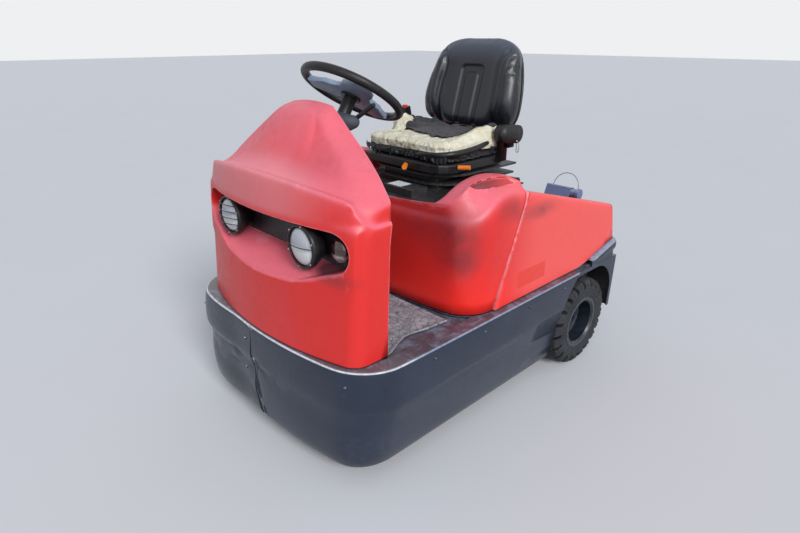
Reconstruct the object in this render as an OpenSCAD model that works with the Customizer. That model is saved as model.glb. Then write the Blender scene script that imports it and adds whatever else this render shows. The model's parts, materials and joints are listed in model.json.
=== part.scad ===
// Airport baggage tug: an electric tow tractor with a driver's seat, one steered
// wheel under the nose and two driven wheels behind. Millimetres, +Z up. The nose
// points to -Y, the driver's left hand is on +X, and the ground is at Z = 0.
// Inside the modules, lengths along Y are measured backwards from the nose.

/* [Chassis] */
// Length from the nose of the skirt to the rear edge of the fenders
body_l = 1625; // [1600:5:1700]
// Overall width over the skirt
body_w = 1060; // [1040:5:1120]
// Distance from the rear axle to the rear edge of the fenders
rear_overhang = 270; // [262:2:300]
// Height of the top of the sill
sill_z = 477; // [470:1:490]
// Width of the flat top of the sill
sill_w = 66; // [50:1:72]
// Height of the fold along the skirt
fold_z = 338; // [300:1:370]
// Ground clearance under the skirt
clear_z = 82; // [60:1:110]
// How far the lower skirt leans in at the sides
skirt_lean = 46; // [20:1:60]
// How far the lower skirt leans in at the nose
nose_lean = 15; // [5:1:30]
// Wall of the skirt
skirt_t = 8; // [5:0.5:9]
// Radius of the nose seen from above
nose_r = 1900; // [1600:20:2400]
// Radius of the front corners seen from above
corner_r = 190; // [160:5:210]
// Plate thickness of the floor
floor_t = 6; // [4:1:8]
// Thickness of the rubber mat
mat_t = 7; // [4:0.5:8]

/* [Wheels] */
// Outer diameter of the tyres
tyre_d = 410; // [390:2:414]
// Width of the tyres
tyre_w = 110; // [96:2:114]
// Diameter of the rim under the tyre
rim_d = 206; // [200:1:216]
// Number of lugs round a tyre
lug_n = 20; // [14:1:22]
// Depth of the grooves between lugs
lug_depth = 11; // [6:1:13]
// Distance of the front wheel's axle from the nose
front_axle_y = 285; // [275:1:290]
// Gap from the skirt's side to the outer face of a rear tyre
tyre_inset = 7; // [3:1:12]
// Diameter of the wheel hubs' stubs
stub_d = 60; // [50:1:64]
// Clearance round a stub, a pin or a shaft
run_fit = 0.5; // [0.3:0.1:0.8]

/* [Cowl] */
// Half width of the cowl's lower part
cowl_half = 456; // [446:1:460]
// Wall of the red mouldings
cover_t = 6; // [5:0.5:7]
// Gap between a red moulding and what it stands on
cover_gap = 0; // [0:0.1:0.3]
// Distance of the lamp panel from the nose
lamp_panel_y = 140; // [134:1:150]
// Height of the lamps' centres
lamp_z = 824; // [816:1:832]
// Distance between the lamps' centres
lamp_pitch = 446; // [420:2:460]
// Diameter of a lamp's lens
lens_d = 122; // [110:1:126]

/* [Seat hood] */
// Half width of the seat hood at its foot
hood_half = 487; // [482:1:490]
// Distance of the hood's front wall from the nose
hood_y = 542; // [540:1:550]
// Height of the seat's base plate
seat_plate_z = 850; // [846:1:856]
// Distance of the seat hood's hinge line from the nose
hinge_y = 1147; // [1145:1:1152]

/* [Seat] */
// Distance of the seat's middle to the left of the centre line
seat_x = -30; // [-40:5:0]
// Width of the seat cushion
seat_w = 490; // [440:5:500]
// Distance of the cushion's front edge from the nose
seat_y = 735; // [730:1:750]
// Depth of the cushion
seat_d = 385; // [360:5:400]
// Height of the cushion's top
cushion_z = 1042; // [1036:1:1056]
// Thickness of the cushion
cushion_t = 74; // [60:1:80]
// Height of the backrest
back_h = 390; // [360:5:420]
// Width of the backrest
back_w = 480; // [440:5:510]
// Recline of the backrest from upright
back_lean = 16; // [10:1:18]

/* [Steering] */
// Radius of the steering wheel to the middle of its rim
wheel_r = 177; // [168:1:188]
// Thickness of the steering wheel's rim
grip_d = 30; // [24:1:34]
// Distance of the steering wheel's hub from the nose
hub_y = 474; // [466:1:478]
// Height of the steering wheel's hub
hub_z = 1234; // [1228:1:1244]
// Tilt of the steering wheel towards the driver
wheel_tilt = 32; // [28:1:36]

/* [Tow coupling] */
// Height of the middle jaw of the tow coupling
tow_z = 300; // [280:5:320]
// Free height between two jaws
jaw_gap = 46; // [40:1:60]
// Thickness of a jaw
jaw_t = 16; // [12:1:20]
// Diameter of the towing pin
tow_pin_d = 30; // [24:1:34]
// Reach of the coupling behind the fenders
tow_reach = 120; // [100:5:140]

/* [Hidden] */

overall_l = body_l + tow_reach;
half_w = body_w / 2;
flange_z = sill_z - skirt_t;
floor_z = flange_z - floor_t;
rear_axle_y = body_l - rear_overhang;
tyre_r = tyre_d / 2;
axle_z = tyre_r;
rear_wheel_x = half_w - tyre_inset - tyre_w / 2;
rail_x = rear_wheel_x - tyre_w / 2 - 17;
rail_t = 8;
plate_t = 6;
plate_half = 298;
red = [0.80, 0.16, 0.16];
slate = [0.24, 0.27, 0.32];
black = [0.08, 0.08, 0.09];
steel = [0.55, 0.56, 0.58];
$fn = 48;

// Everything is drawn with its lengths measured from the nose
module from_nose() {
    translate([0, -overall_l / 2, 0])
        children();
}

// Joins the rows of a table into one list
function flat(rows) = [for (row = rows) for (p = row) p];

// Triangles of a grid of n rows by m points whose first point is number o
function grid_tris(n, m, o, turn) = [
    for (i = [0:n - 2]) for (j = [0:m - 2]) for (k = [0, 1])
        let (a = o + i * m + j, b = a + 1, c = a + m + 1, d = a + m)
        let (f = k == 0 ? [a, b, c] : [a, c, d])
        turn ? [f[2], f[1], f[0]] : f
];

// Triangles that close the rim between two grids, along the points of a list
function rim_tris(path, o) = [
    for (i = [0:len(path) - 2]) for (k = [0, 1])
        let (a = path[i], b = path[i + 1])
        k == 0 ? [a, a + o, b + o] : [a, b + o, b]
];

// Solid between an outer and an inner grid of the same shape
module thick_sheet(outer, inner) {
    n = len(outer);
    m = len(outer[0]);
    o = n * m;
    edge = concat(
        [for (j = [0:m - 1]) j],
        [for (i = [1:n - 1]) i * m + m - 1],
        [for (j = [m - 2:-1:0]) (n - 1) * m + j],
        [for (i = [n - 2:-1:0]) i * m]
    );
    polyhedron(
        points = concat(flat(outer), flat(inner)),
        faces = concat(
            grid_tris(n, m, 0, true),
            grid_tris(n, m, o, false),
            [for (t = rim_tris(edge, o)) [t[2], t[1], t[0]]]
        )
    );
}

// Solid through a list of closed rings with as many points each
module loft(rings) {
    n = len(rings);
    m = len(rings[0]);
    polyhedron(
        points = flat(rings),
        faces = concat(
            [for (i = [0:n - 2]) for (j = [0:m - 1]) for (k = [0, 1])
                let (a = i * m + j, b = i * m + (j + 1) % m, c = b + m, d = a + m)
                k == 0 ? [a, c, b] : [a, d, c]],
            [[for (j = [0:m - 1]) j]],
            [[for (j = [m - 1:-1:0]) (n - 1) * m + j]]
        )
    );
}

// Ring of 4 x n points: a rectangle with rounded corners, centred, in the XY plane
function round_rect(w, l, r, n = 4) = [
    for (q = [0:3]) for (i = [0:n - 1])
        let (a = 90 * q + 90 * i / (n - 1))
        let (sx = q == 0 || q == 3 ? 1 : -1, sy = q < 2 ? 1 : -1)
        [sx * (w / 2 - r) + r * cos(a), sy * (l / 2 - r) + r * sin(a)]
];

// Block with round corners in plan and round edges above and below
module pad(w, l, h, r, edge) {
    rows = [[0, edge], [edge * 0.3, edge * 0.3], [edge, 0],
        [h - edge, 0], [h - edge * 0.3, edge * 0.3], [h, edge]];
    loft([for (row = rows)
        [for (p = round_rect(w - 2 * row[1], l - 2 * row[1], r - row[1] * 0.6))
            [p[0], p[1], row[0]]]]);
}

// Half angle that the nose arc takes up before a front corner begins
function corner_start(w, rf, rc) = asin((w - rc) / (rf - rc));

// Distance from the nose of a front corner's centre
function corner_y(w, front, rf, rc) =
    front + rf - sqrt(pow(rf - rc, 2) - pow(w - rc, 2));

// One point of an outline seen from above: [x, y, normal x, normal y]
function on_arc(x, y, r, a) = [x + r * sin(a), y - r * cos(a), sin(a), -cos(a)];

// Outline seen from above, from the left rear end round the nose to the right
// rear end: half width, front, rear, nose radius, corner radius
function plan(w, front, rear, rf, rc, side_n = 2, corner_n = 6, nose_n = 10) =
    let (a = corner_start(w, rf, rc), yc = corner_y(w, front, rf, rc))
    let (side = [for (i = [0:side_n - 1]) [w, yc + (rear - yc) * (1 - i / side_n), 1, 0]])
    let (corner = [for (i = [0:corner_n])
        on_arc(w - rc, yc, rc, 90 - (90 - a) * i / corner_n)])
    let (right = concat(side, corner))
    concat(
        [for (p = right) [-p[0], p[1], -p[2], p[3]]],
        [for (i = [1:nose_n - 1]) on_arc(0, front + rf, rf, -a + 2 * a * i / nose_n)],
        [for (i = [len(right) - 1:-1:0]) right[i]]
    );

// Skirt

skirt_rear_y = rear_axle_y - 75;
// Columns: distance out from the outline at the side, at the nose, height
skirt_rows = [
    [-sill_w, -sill_w, sill_z],
    [-9, -9, sill_z],
    [-3, -3, sill_z - 3],
    [0, 0, sill_z - 10],
    [0, 0, sill_z - 48],
    [0, 0, fold_z + 28],
    [0, 0, fold_z + 6],
    [-3, -1, fold_z - 8],
    [-0.25 * skirt_lean, -0.25 * nose_lean, fold_z - 42],
    [-0.64 * skirt_lean, -0.64 * nose_lean, fold_z - 138],
    [-skirt_lean, -nose_lean, clear_z + 26],
    [-skirt_lean - 14, -nose_lean - 14, clear_z]
];
skirt_inner = [
    [-sill_w, -sill_w, flange_z],
    [-13 - skirt_t / 2, -13 - skirt_t / 2, flange_z],
    [-4 - skirt_t, -4 - skirt_t, flange_z - 2],
    [-skirt_t, -skirt_t, flange_z - 8],
    [-skirt_t, -skirt_t, sill_z - 49],
    [-skirt_t, -skirt_t, fold_z + 27],
    [-skirt_t, -skirt_t, fold_z + 5],
    [-3 - skirt_t, -1 - skirt_t, fold_z - 9],
    [-0.25 * skirt_lean - skirt_t, -0.25 * nose_lean - skirt_t, fold_z - 43],
    [-0.64 * skirt_lean - skirt_t, -0.64 * nose_lean - skirt_t, fold_z - 139],
    [-skirt_lean - skirt_t, -nose_lean - skirt_t, clear_z + 25],
    [-skirt_lean - 14 - skirt_t, -nose_lean - 14 - skirt_t, clear_z + 3]
];

// The right front corner has been pushed out. Columns: height, how far out
dent_rows = [[0, 38], [200, 44], [270, 40], [302, 22], [336, 35], [372, 38], [429, 32], [478, 24]];
// Share of it by the distance along the skirt: first by X, then by Y
dent_x = [[-530, 1], [-420, 1], [-300, 0.7], [-150, 0], [530, 0]];
dent_y = [[0, 1], [120, 1], [260, 0.6], [450, 0]];

function dent(x, y, z) = lookup(z, dent_rows) * lookup(x, dent_x) * lookup(y, dent_y);

// Rear edge of the skirt round the tyre. Columns: height, distance ahead of the axle
skirt_arch = [[57, 176], [96, 200], [143, 212], [205, 212], [281, 203], [341, 188], [381, 171],
    [420, 145], [453, 109], [483, 73]];

function skirt_grid(rows, t) = [
    for (i = [0:len(rows) - 1]) let (row = rows[i]) [
        for (p = plan(half_w, 0, rear_axle_y - lookup(row[2], skirt_arch), nose_r, corner_r, 5, 6, 10))
            let (s = pow(abs(p[2]), 2), d = row[0] * s + row[1] * (1 - s))
            let (out = i == 0 ? 0 : dent(p[0], p[1], row[2]))
            [max(t - half_w, p[0] + p[2] * (d + out)), max(t, p[1] + p[3] * (d + out)), row[2]]
    ]
];

// Joint of the skirt's two halves at the nose: distance across, height
nose_joint = [[-30, 468], [-51, 351], [-36, 319], [-31, 295], [-50, 210], [-38, 170], [-19, 129], [-10, 40]];

module skirt() {
    color(slate) from_nose() difference() {
        thick_sheet(skirt_grid(skirt_rows, 0), skirt_grid(skirt_inner, skirt_t));
        translate([0, 60, 0])
            rotate([90, 0, 0])
                linear_extrude(90)
                    polygon(concat(
                        nose_joint,
                        [for (i = [len(nose_joint) - 1:-1:0]) [nose_joint[i][0] + 4 + 2 * i, nose_joint[i][1]]]
                    ));
    }
}

// Floor

module outline_2d(w, front, rear, rf, rc) {
    polygon([for (p = plan(w, front, rear, rf, rc)) [p[0], p[1]]]);
}

module floor_plate() {
    edge = skirt_t + 14;
    strip_h = sill_z - flange_z;
    color(slate) from_nose() {
        difference() {
            union() {
                translate([0, 0, floor_z])
                    linear_extrude(floor_t)
                        outline_2d(half_w - edge, edge, body_l - 28, nose_r, corner_r);
                // Raised strips that the cowl and the seat hood stand on
                translate([0, 0, flange_z - 0.5])
                    linear_extrude(strip_h + 0.5)
                        intersection() {
                            outline_2d(half_w - sill_w - 0.5, sill_w + 0.5, hood_y + 90,
                                nose_r, corner_r);
                            union() {
                                difference() {
                                    outline_2d(cowl_half + 2, cowl_y - 1, 216, cowl_nose_r, cowl_corner + 2);
                                    outline_2d(cowl_half - 14, cowl_y + 15, 250, cowl_nose_r, cowl_corner - 14);
                                }
                                difference() {
                                    outline_2d(hood_half + 2, hood_y - 2, hood_y + 88, 2796, 130);
                                    outline_2d(hood_half - 16, hood_y + 16, hood_y + 99, 2796, 114);
                                }
                            }
                        }
            }
            translate([0, front_axle_y, floor_z - 1])
                cylinder(h = floor_t + 2, d = 150);
            translate([-rail_x + rail_t / 2, hood_y + 50, floor_z - 1])
                cube([2 * rail_x - rail_t, body_l - hood_y - 110, floor_t + 2]);
        }
    }
}

console_w = 270;
console_l = 300;
console_y = 106;
cowl_y = 10;
cowl_nose_r = 1350;
cowl_corner = 66;

module floor_mat() {
    inner = half_w - sill_w - 3;
    color([0.45, 0.45, 0.47]) from_nose()
        translate([0, 0, floor_z + floor_t])
            linear_extrude(mat_t)
                difference() {
                    translate([-inner, console_y + 70])
                        square([2 * inner, hood_y - console_y - 76]);
                    translate([-console_w / 2 - 4, console_y - 20])
                        square([console_w + 8, console_l + 24]);
                    difference() {
                        outline_2d(cowl_half + 12, 4, 222, cowl_nose_r, cowl_corner + 12);
                        outline_2d(cowl_half - 18, 40, 260, cowl_nose_r, cowl_corner - 14);
                    }
                }
}

// Frame under the floor and round the battery

hinge_z = seat_plate_z + plate_t / 2;
hinge_bar_z = seat_plate_z - 70;
hinge_pin_d = 14;
hinge_lugs = [-254, -146, 146, 254];
frame_front_y = 60;
battery_y = 600;
battery_l = 400;
battery_w = 2 * rail_x - 32;
battery_h = 627;
tray_z = 130;
head_t = 12;
head_half = 260;
head_z = floor_z - head_t;
king_d = 80;

module main_frame() {
    color(black) from_nose() difference() {
        union() {
            for (side = [-1, 1])
                translate([side * rail_x - rail_t / 2, hood_y + 20, tray_z])
                    cube([rail_t, body_l - hood_y - 52, floor_z - tray_z]);
            translate([-rail_x, hood_y + 20, tray_z])
                cube([2 * rail_x, rail_t, floor_z - tray_z]);
            translate([-rail_x, battery_y - 10, tray_z])
                cube([2 * rail_x, battery_l + 20, rail_t]);
            translate([-rail_x, battery_y + battery_l + 10, tray_z])
                cube([2 * rail_x, rail_t, floor_z - tray_z]);
            translate([-rail_x, body_l - 40, tray_z])
                cube([2 * rail_x, rail_t, floor_z - tray_z]);
        }
        for (side = [-1, 1])
            translate([side * rail_x, rear_axle_y, axle_z])
                rotate([0, 90, 0])
                    cylinder(h = 3 * rail_t, d = snout_d + 2 * run_fit, center = true);
    }
}

module head_plate() {
    color(black) from_nose() difference() {
        union() {
            translate([-head_half, frame_front_y, head_z])
                cube([2 * head_half, hood_y + 20 - frame_front_y, head_t]);
            translate([0, front_axle_y, head_z - 8])
                cylinder(h = 8.5, d = king_d + 60);
        }
        translate([0, front_axle_y, head_z - 20])
            cylinder(h = head_t + 40, d = king_d + 2 * run_fit);
    }
}

// Posts, bar and lugs of the seat hood's hinge
module hinge_frame() {
    color(black) from_nose() {
        union() {
            for (side = [-1, 1])
                translate([side * (rail_x - 16) - 12, hinge_y - 20, floor_z - 40])
                    cube([24, 40, hinge_bar_z + 8 - floor_z + 40]);
            translate([-rail_x + 5, hinge_y - 20, hinge_bar_z - 22])
                cube([2 * rail_x - 10, 40, 30]);
            for (x = hinge_lugs)
                translate([x - 4, 0, 0])
                    rotate([90, 0, 90])
                        linear_extrude(8)
                            difference() {
                                hull() {
                                    translate([hinge_y, hinge_z])
                                        circle(r = 13);
                                    translate([hinge_y - 18, hinge_bar_z])
                                        square([36, 4]);
                                }
                                translate([hinge_y, hinge_z])
                                    circle(d = hinge_pin_d + 2 * run_fit);
                            }
        }
    }
}

module battery() {
    color([0.2, 0.25, 0.3]) from_nose()
        translate([-battery_w / 2, battery_y, tray_z + rail_t])
            cube([battery_w, battery_l, battery_h]);
}

// Rear axle: two motors with their gear housings and hub stubs

hub_flange_d = 190;
motor_d = 170;
snout_d = 130;
rim_face_x = rear_wheel_x - tyre_w / 2 + 22;

module rear_axle() {
    color(black) from_nose()
        translate([0, rear_axle_y, axle_z])
            rotate([0, 90, 0]) union() {
                cylinder(h = 2 * rail_x - 60, d = motor_d, center = true);
                for (side = [-1, 1]) scale([1, 1, side]) {
                    translate([0, 0, rail_x - 60])
                        cylinder(h = 60 - rail_t / 2, d = hub_flange_d);
                    translate([0, 0, rail_x - 10])
                        cylinder(h = rim_face_x - 21 - rail_x + 10, d = snout_d);
                    translate([0, 0, rail_x + 16])
                        cylinder(h = rim_face_x + disc_t + 10 - rail_x - 16, d = stub_d);
                }
            }
}

// Wheels: the profile is drawn in the XZ plane as radius and width, and turned
// about Z, which then becomes the axle

rim_lip = 14;
disc_t = 9;
barrel_t = 5;

module rim(bore, disc_at, bolts) {
    r = rim_d / 2;
    union() {
        rotate_extrude($fn = 96)
            polygon([
                [bore / 2, disc_at], [r - barrel_t, disc_at], [r - barrel_t, -tyre_w / 2 + 10],
                [r - barrel_t + 8, -tyre_w / 2 + 2], [r + rim_lip, -tyre_w / 2 + 2],
                [r + rim_lip, -tyre_w / 2 + 7], [r, -tyre_w / 2 + 12],
                [r, tyre_w / 2 - 12], [r + rim_lip, tyre_w / 2 - 7],
                [r + rim_lip, tyre_w / 2 - 2], [r - barrel_t + 8, tyre_w / 2 - 2],
                [r - barrel_t, tyre_w / 2 - 10], [r - barrel_t, disc_at + disc_t + 6],
                [r - barrel_t - 12, disc_at + disc_t], [bore / 2 + 16, disc_at + disc_t],
                [bore / 2 + 14, disc_at + disc_t + 6], [bore / 2, disc_at + disc_t + 6]
            ]);
        for (i = [0:bolts - 1])
            rotate(i * 360 / bolts)
                translate([rim_d * 0.31, 0, disc_at + disc_t - 1])
                    cylinder(h = 15, d = 24, $fn = 6);
    }
}

module tyre() {
    w = tyre_w / 2;
    r = rim_d / 2;
    difference() {
        rotate_extrude($fn = 120)
            polygon([
                [r + 0.3, -w + 12.3], [r + rim_lip + 0.3, -w + 7.3], [r + rim_lip + 0.3, -w + 3],
                [r + rim_lip + 5, -w + 0.5],
                [r + 45, -w], [tyre_r - 34, -w], [tyre_r - 14, -w + 4], [tyre_r - 3, -w + 14],
                [tyre_r, -w + 30], [tyre_r, w - 30], [tyre_r - 3, w - 14], [tyre_r - 14, w - 4],
                [tyre_r - 34, w], [r + 45, w], [r + rim_lip + 5, w - 0.5],
                [r + rim_lip + 0.3, w - 3], [r + rim_lip + 0.3, w - 7.3], [r + 0.3, w - 12.3]
            ]);
        for (i = [0:lug_n - 1]) for (side = [-1, 1])
            rotate((i + side * 0.25) * 360 / lug_n)
                translate([tyre_r - lug_depth, 0, side * (w - 15)])
                    rotate([side * 18, 0, 0])
                        cube([2 * lug_depth + 30, 15, 44], center = true);
    }
}

module wheel_at(x, y, side) {
    from_nose() translate([x, y, axle_z]) rotate([0, side * 90, 0]) children();
}

module rear_rim_left() {
    color(slate) wheel_at(rear_wheel_x, rear_axle_y, 1)
        rim(stub_d + 2 * run_fit, rim_face_x - rear_wheel_x, 5);
}

module rear_rim_right() {
    color(slate) wheel_at(-rear_wheel_x, rear_axle_y, -1)
        rim(stub_d + 2 * run_fit, rim_face_x - rear_wheel_x, 5);
}

module rear_tyre_left() {
    color(black) wheel_at(rear_wheel_x, rear_axle_y, 1) tyre();
}

module rear_tyre_right() {
    color(black) wheel_at(-rear_wheel_x, rear_axle_y, -1) tyre();
}

axle_d = 34;

module front_rim() {
    color(slate) wheel_at(0, front_axle_y, 1) union() {
        rim(axle_d + 2 * run_fit, -disc_t / 2, 5);
        difference() {
            cylinder(h = 100, d = 70, center = true);
            cylinder(h = 102, d = axle_d + 2 * run_fit, center = true);
        }
    }
}

module front_tyre() {
    color(black) wheel_at(0, front_axle_y, 1) tyre();
}

crown_t = 12;
crown_z = head_z - 8 - crown_t - 1;
arm_gap = 8;
arm_t = 12;

module front_fork() {
    arm_x = tyre_w / 2 + arm_gap;
    color(black) from_nose() translate([0, front_axle_y, 0]) union() {
        translate([0, 0, crown_z])
            cylinder(h = crown_t, d = 200);
        translate([0, 0, crown_z])
            cylinder(h = sill_z + 60 - crown_z, d = king_d);
        translate([0, 0, sill_z + 20])
            cylinder(h = 24, d = 150);
        for (side = [-1, 1])
            translate([side * (arm_x + arm_t / 2) - arm_t / 2, -45, axle_z - 40])
                cube([arm_t, 90, crown_z + 2 - axle_z + 40]);
        translate([0, 0, axle_z])
            rotate([0, 90, 0])
                cylinder(h = 2 * arm_x + 2 * arm_t + 10, d = axle_d, center = true);
    }
}

// Fenders behind the skirt

fender_t = 5;
fender_x = half_w - 14;
fender_top = sill_z - 14;
fender_low = 200;

module fender(side) {
    y0 = skirt_rear_y + 6;
    color(slate) from_nose() mirror([side < 0 ? 1 : 0, 0, 0]) {
        translate([fender_x - fender_t, 0, 0])
            rotate([90, 0, 90])
                linear_extrude(fender_t)
                    difference() {
                        polygon([[y0, fender_top], [y0, fender_top - 50],
                            [body_l - 26, fender_low + 8], [body_l - 18, fender_low],
                            [body_l - 6, fender_low + 4], [body_l, fender_top - 30],
                            [body_l, fender_top]]);
                        hull() {
                            translate([y0 + 20, fender_top - 164])
                                circle(r = 150);
                            translate([body_l - 24 - 150, fender_top - 164])
                                circle(r = 150);
                            translate([body_l - 28 - 150, fender_low - 60])
                                square([150, 20]);
                            translate([y0 - 200, fender_low - 60])
                                square([150, 20]);
                        }
                    }
        translate([rail_x + rail_t / 2, y0, fender_top - fender_t])
            cube([fender_x - rail_x - rail_t / 2, body_l - y0, fender_t]);
    }
}

module fender_left() { fender(1); }
module fender_right() { fender(-1); }

// Rear bumper: a rounded band round the back and both rear corners

bumper_low = fender_top + 25;
bumper_h = 62;
bumper_y = body_l + 30;
bumper_gap = 1.5;
bumper_reach = 270;

module rear_bumper() {
    in_x = cover_half + bumper_gap;
    // Columns: height, inset of the outer face
    rows = [[0, 22], [8, 8], [20, 0], [bumper_h - 16, 0], [bumper_h - 5, 7], [bumper_h, 20]];
    // Share of the height by the distance from the rear
    taper = [[0, 1], [60, 1], [130, 0.86], [bumper_reach, 0.2]];
    color(slate) from_nose() union() {
        difference() {
            loft([for (row = rows)
                [for (p = plan(half_w - 4 - row[1], row[1], bumper_reach - row[1] * 2, 9000, 70 - row[1], 1, 5, 4))
                    [-p[0], bumper_y - p[1], bumper_low + row[0] * lookup(p[1], taper)]]]);
            translate([-in_x, bumper_y - 400, bumper_low - 1])
                cube([2 * in_x, cover_rear_y + bumper_gap - bumper_y + 400, bumper_h + 2]);
        }
        // Webs down to the fenders
        for (side = [-1, 1])
            translate([side * (fender_x - 5) - 3, body_l - 225, fender_top])
                cube([6, 190, 34]);
    }
}

// Tow coupling: three jaws on the back plate, with one long pin

jaw_w = 130;
tow_eye_y = body_l + tow_reach - jaw_w / 2 + 6;

module jaw() {
    linear_extrude(jaw_t)
        hull() {
            translate([0, tow_eye_y])
                circle(d = jaw_w - 12);
            translate([-jaw_w / 2, body_l - 32])
                square([jaw_w, 10]);
        }
}

module tow_coupling() {
    color(black) from_nose() difference() {
        union() {
            for (i = [-1:1])
                translate([0, 0, tow_z + i * (jaw_gap + jaw_t) - jaw_t / 2])
                    jaw();
            translate([-jaw_w / 2 - 24, body_l - 32, tow_z - jaw_gap - 2 * jaw_t - 20])
                cube([jaw_w + 48, 18, 2 * jaw_gap + 4 * jaw_t + 40]);
            for (x = [-1, 1]) for (i = [-1:1])
                translate([x * (jaw_w / 2 + 12), body_l - 15, tow_z + i * (jaw_gap + jaw_t)])
                    rotate([-90, 0, 0])
                        cylinder(h = 13, d = 20, $fn = 6);
        }
        translate([0, tow_eye_y, tow_z - jaw_gap - 3 * jaw_t])
            cylinder(h = 2 * jaw_gap + 6 * jaw_t, d = tow_pin_d + 2 * run_fit);
    }
}

module tow_pin() {
    color(steel) from_nose() translate([0, tow_eye_y, 0]) union() {
        translate([0, 0, tow_z - jaw_gap - 2 * jaw_t])
            cylinder(h = 2 * jaw_gap + 4 * jaw_t + 30, d = tow_pin_d);
        translate([0, 0, tow_z + jaw_gap + 1.5 * jaw_t + 0.4])
            cylinder(h = 8, d = tow_pin_d + 16);
        translate([0, 0, tow_z + jaw_gap + 2 * jaw_t + 52])
            rotate([90, 0, 0])
                rotate_extrude()
                    translate([28, 0])
                        circle(d = 10, $fn = 20);
    }
}

// Front cowl

// Columns: height on the centre line, fall towards the corners, further fall
// round the corners, front, rear edge, half width as a share of the lower part's,
// corner radius, lean of the wall, half width of the raised middle, its height
cowl_rows = [
    [sill_z + cover_gap, 0, 0, cowl_y, 215, 1, cowl_corner, 0, 200, 0],
    [680, 0, 0, 27, 222, 1, cowl_corner, 0, 200, 0],
    [840, 12, 0, 38, 228, 1, cowl_corner, 0.1, 200, 0],
    [905, 22, 16, 43, 231, 1, cowl_corner, 0.1, 200, 0],
    [962, 34, 36, 49, 235, 1, cowl_corner, 0.2, 200, 0],
    [1002, 40, 56, 56, 239, 0.997, cowl_corner, 0.3, 200, 0],
    [1018, 42, 63, 60, 241, 0.992, 64, 0.6, 200, 0],
    [1024, 42, 66, 68, 243, 0.98, 62, 1, 190, 0],
    [1021, 44, 54, 80, 244, 0.968, 62, 1, 180, 0],
    [1020, 48, 18, 92, 246, 0.965, 70, 0.8, 170, 0],
    [1038, 62, 4, 112, 254, 0.955, 88, 0.8, 158, 0],
    [1058, 62, 0, 133, 263, 0.88, 86, 0.8, 150, 3],
    [1082, 50, 0, 153, 275, 0.794, 80, 0.8, 146, 6],
    [1123, 26, 0, 186, 290, 0.597, 66, 0.8, 132, 10],
    [1160, 14, 0, 212, 295, 0.44, 52, 0.9, 122, 8],
    [1190, 8, 0, 233, 299, 0.34, 42, 1, 96, 4],
    [1209, 6, 0, 256, 302, 0.27, 30, 1, 72, 2]
];
cowl_ridge_y = 303;
cowl_top_z = 1222;

// Outline of the cowl with two columns of points beside each edge of its middle
function cowl_plan(w, front, rear, rc, c) =
    let (a = corner_start(w, cowl_nose_r, rc), yc = corner_y(w, front, cowl_nose_r, rc))
    let (e = cowl_nose_r * sin(a), o = min(c + 8, e - 8))
    let (across = [e - (e - o) * 0.36, e - (e - o) * 0.7, o, min(c, e) - 8, min(c, e) * 0.45])
    let (half = concat(
        [[w, rear, 1, 0]],
        [for (i = [0:6]) on_arc(w - rc, yc, rc, 90 - (90 - a) * i / 6)],
        [for (x = across) on_arc(0, front + cowl_nose_r, cowl_nose_r, asin(x / cowl_nose_r))]))
    concat(
        [for (p = half) [-p[0], p[1], -p[2], p[3]]],
        [[0, front, 0, -1]],
        [for (i = [len(half) - 1:-1:0]) half[i]]
    );

// How far a point has gone round the corner, from 0 to 1
function corner_share(n) = max(0, abs(n) - 0.29) / 0.71;

function cowl_row(row, t) =
    let (w = row[5] * cowl_half)
    [for (p = cowl_plan(w, row[3], row[4], row[6], row[8]))
        let (mid = abs(p[0]) < row[8] ? row[9] : 0)
        let (z = row[0] - row[1] * pow(p[0] / w, 2) - row[2] * corner_share(p[2]))
        [p[0] - p[2] * t, p[1] - p[3] * t - mid, z + mid * 0.4 - row[7] * t]];

function cowl_grid(t) = concat(
    [for (row = cowl_rows) cowl_row(row, t)],
    [let (last = cowl_rows[len(cowl_rows) - 1], w = last[5] * cowl_half, top = cowl_row(last, 0))
        [for (p = top)
            let (x = p[0] * (w - 10) / w)
            [x * (w - t) / w, cowl_ridge_y, cowl_top_z - 12 * pow(x / w, 2) - t]]]
);

recess_half = 398;

// Cutter for the lamp recess; d makes it larger all round
module recess(d) {
    hull() {
        for (side = [-1, 1])
            translate([side * (recess_half - 62), lamp_panel_y + 1.7, lamp_z + 8])
                rotate([90, 0, 0])
                    cylinder(h = 60, r = 62 + d);
        for (side = [-1, 1])
            translate([side * (recess_half - 40), 20, lamp_z + 12])
                rotate([90, 0, 0])
                    cylinder(h = 20, r = 66 + d);
        for (x = [-150, 0, 150])
            translate([x, 20, lamp_z - 74 + abs(x) * 0.04])
                rotate([90, 0, 0])
                    cylinder(h = 20, r = 62 + d);
    }
}

module front_cowl() {
    rows = cowl_grid(1);
    color(red) from_nose() difference() {
        union() {
            thick_sheet(cowl_grid(0), cowl_grid(cover_t));
            intersection() {
                recess(cover_t);
                loft([for (i = [0:7]) rows[i]]);
            }
        }
        recess(0);
    }
}

module lamp_panel() {
    color(black) from_nose()
        translate([0, lamp_panel_y + 8, 0])
            rotate([90, 0, 0])
                linear_extrude(6)
                    hull()
                        for (side = [-1, 1])
                            translate([side * (recess_half - 62), lamp_z + 8])
                                circle(r = 74);
}

module headlamp_housings() {
    color(black) from_nose()
        for (side = [-1, 1])
            translate([side * lamp_pitch / 2, lamp_panel_y + 2, lamp_z])
                rotate([90, 0, 0])
                    rotate_extrude($fn = 64)
                        polygon([[0, 0], [38, 0], [56, 22], [lens_d / 2 + 9, 48],
                            [lens_d / 2 + 11, 56], [lens_d / 2 + 9, 72], [lens_d / 2 + 2, 74],
                            [lens_d / 2 + 1, 52], [lens_d / 2 - 6, 52], [lens_d / 2 - 14, 40],
                            [0, 12]]);
}

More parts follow.
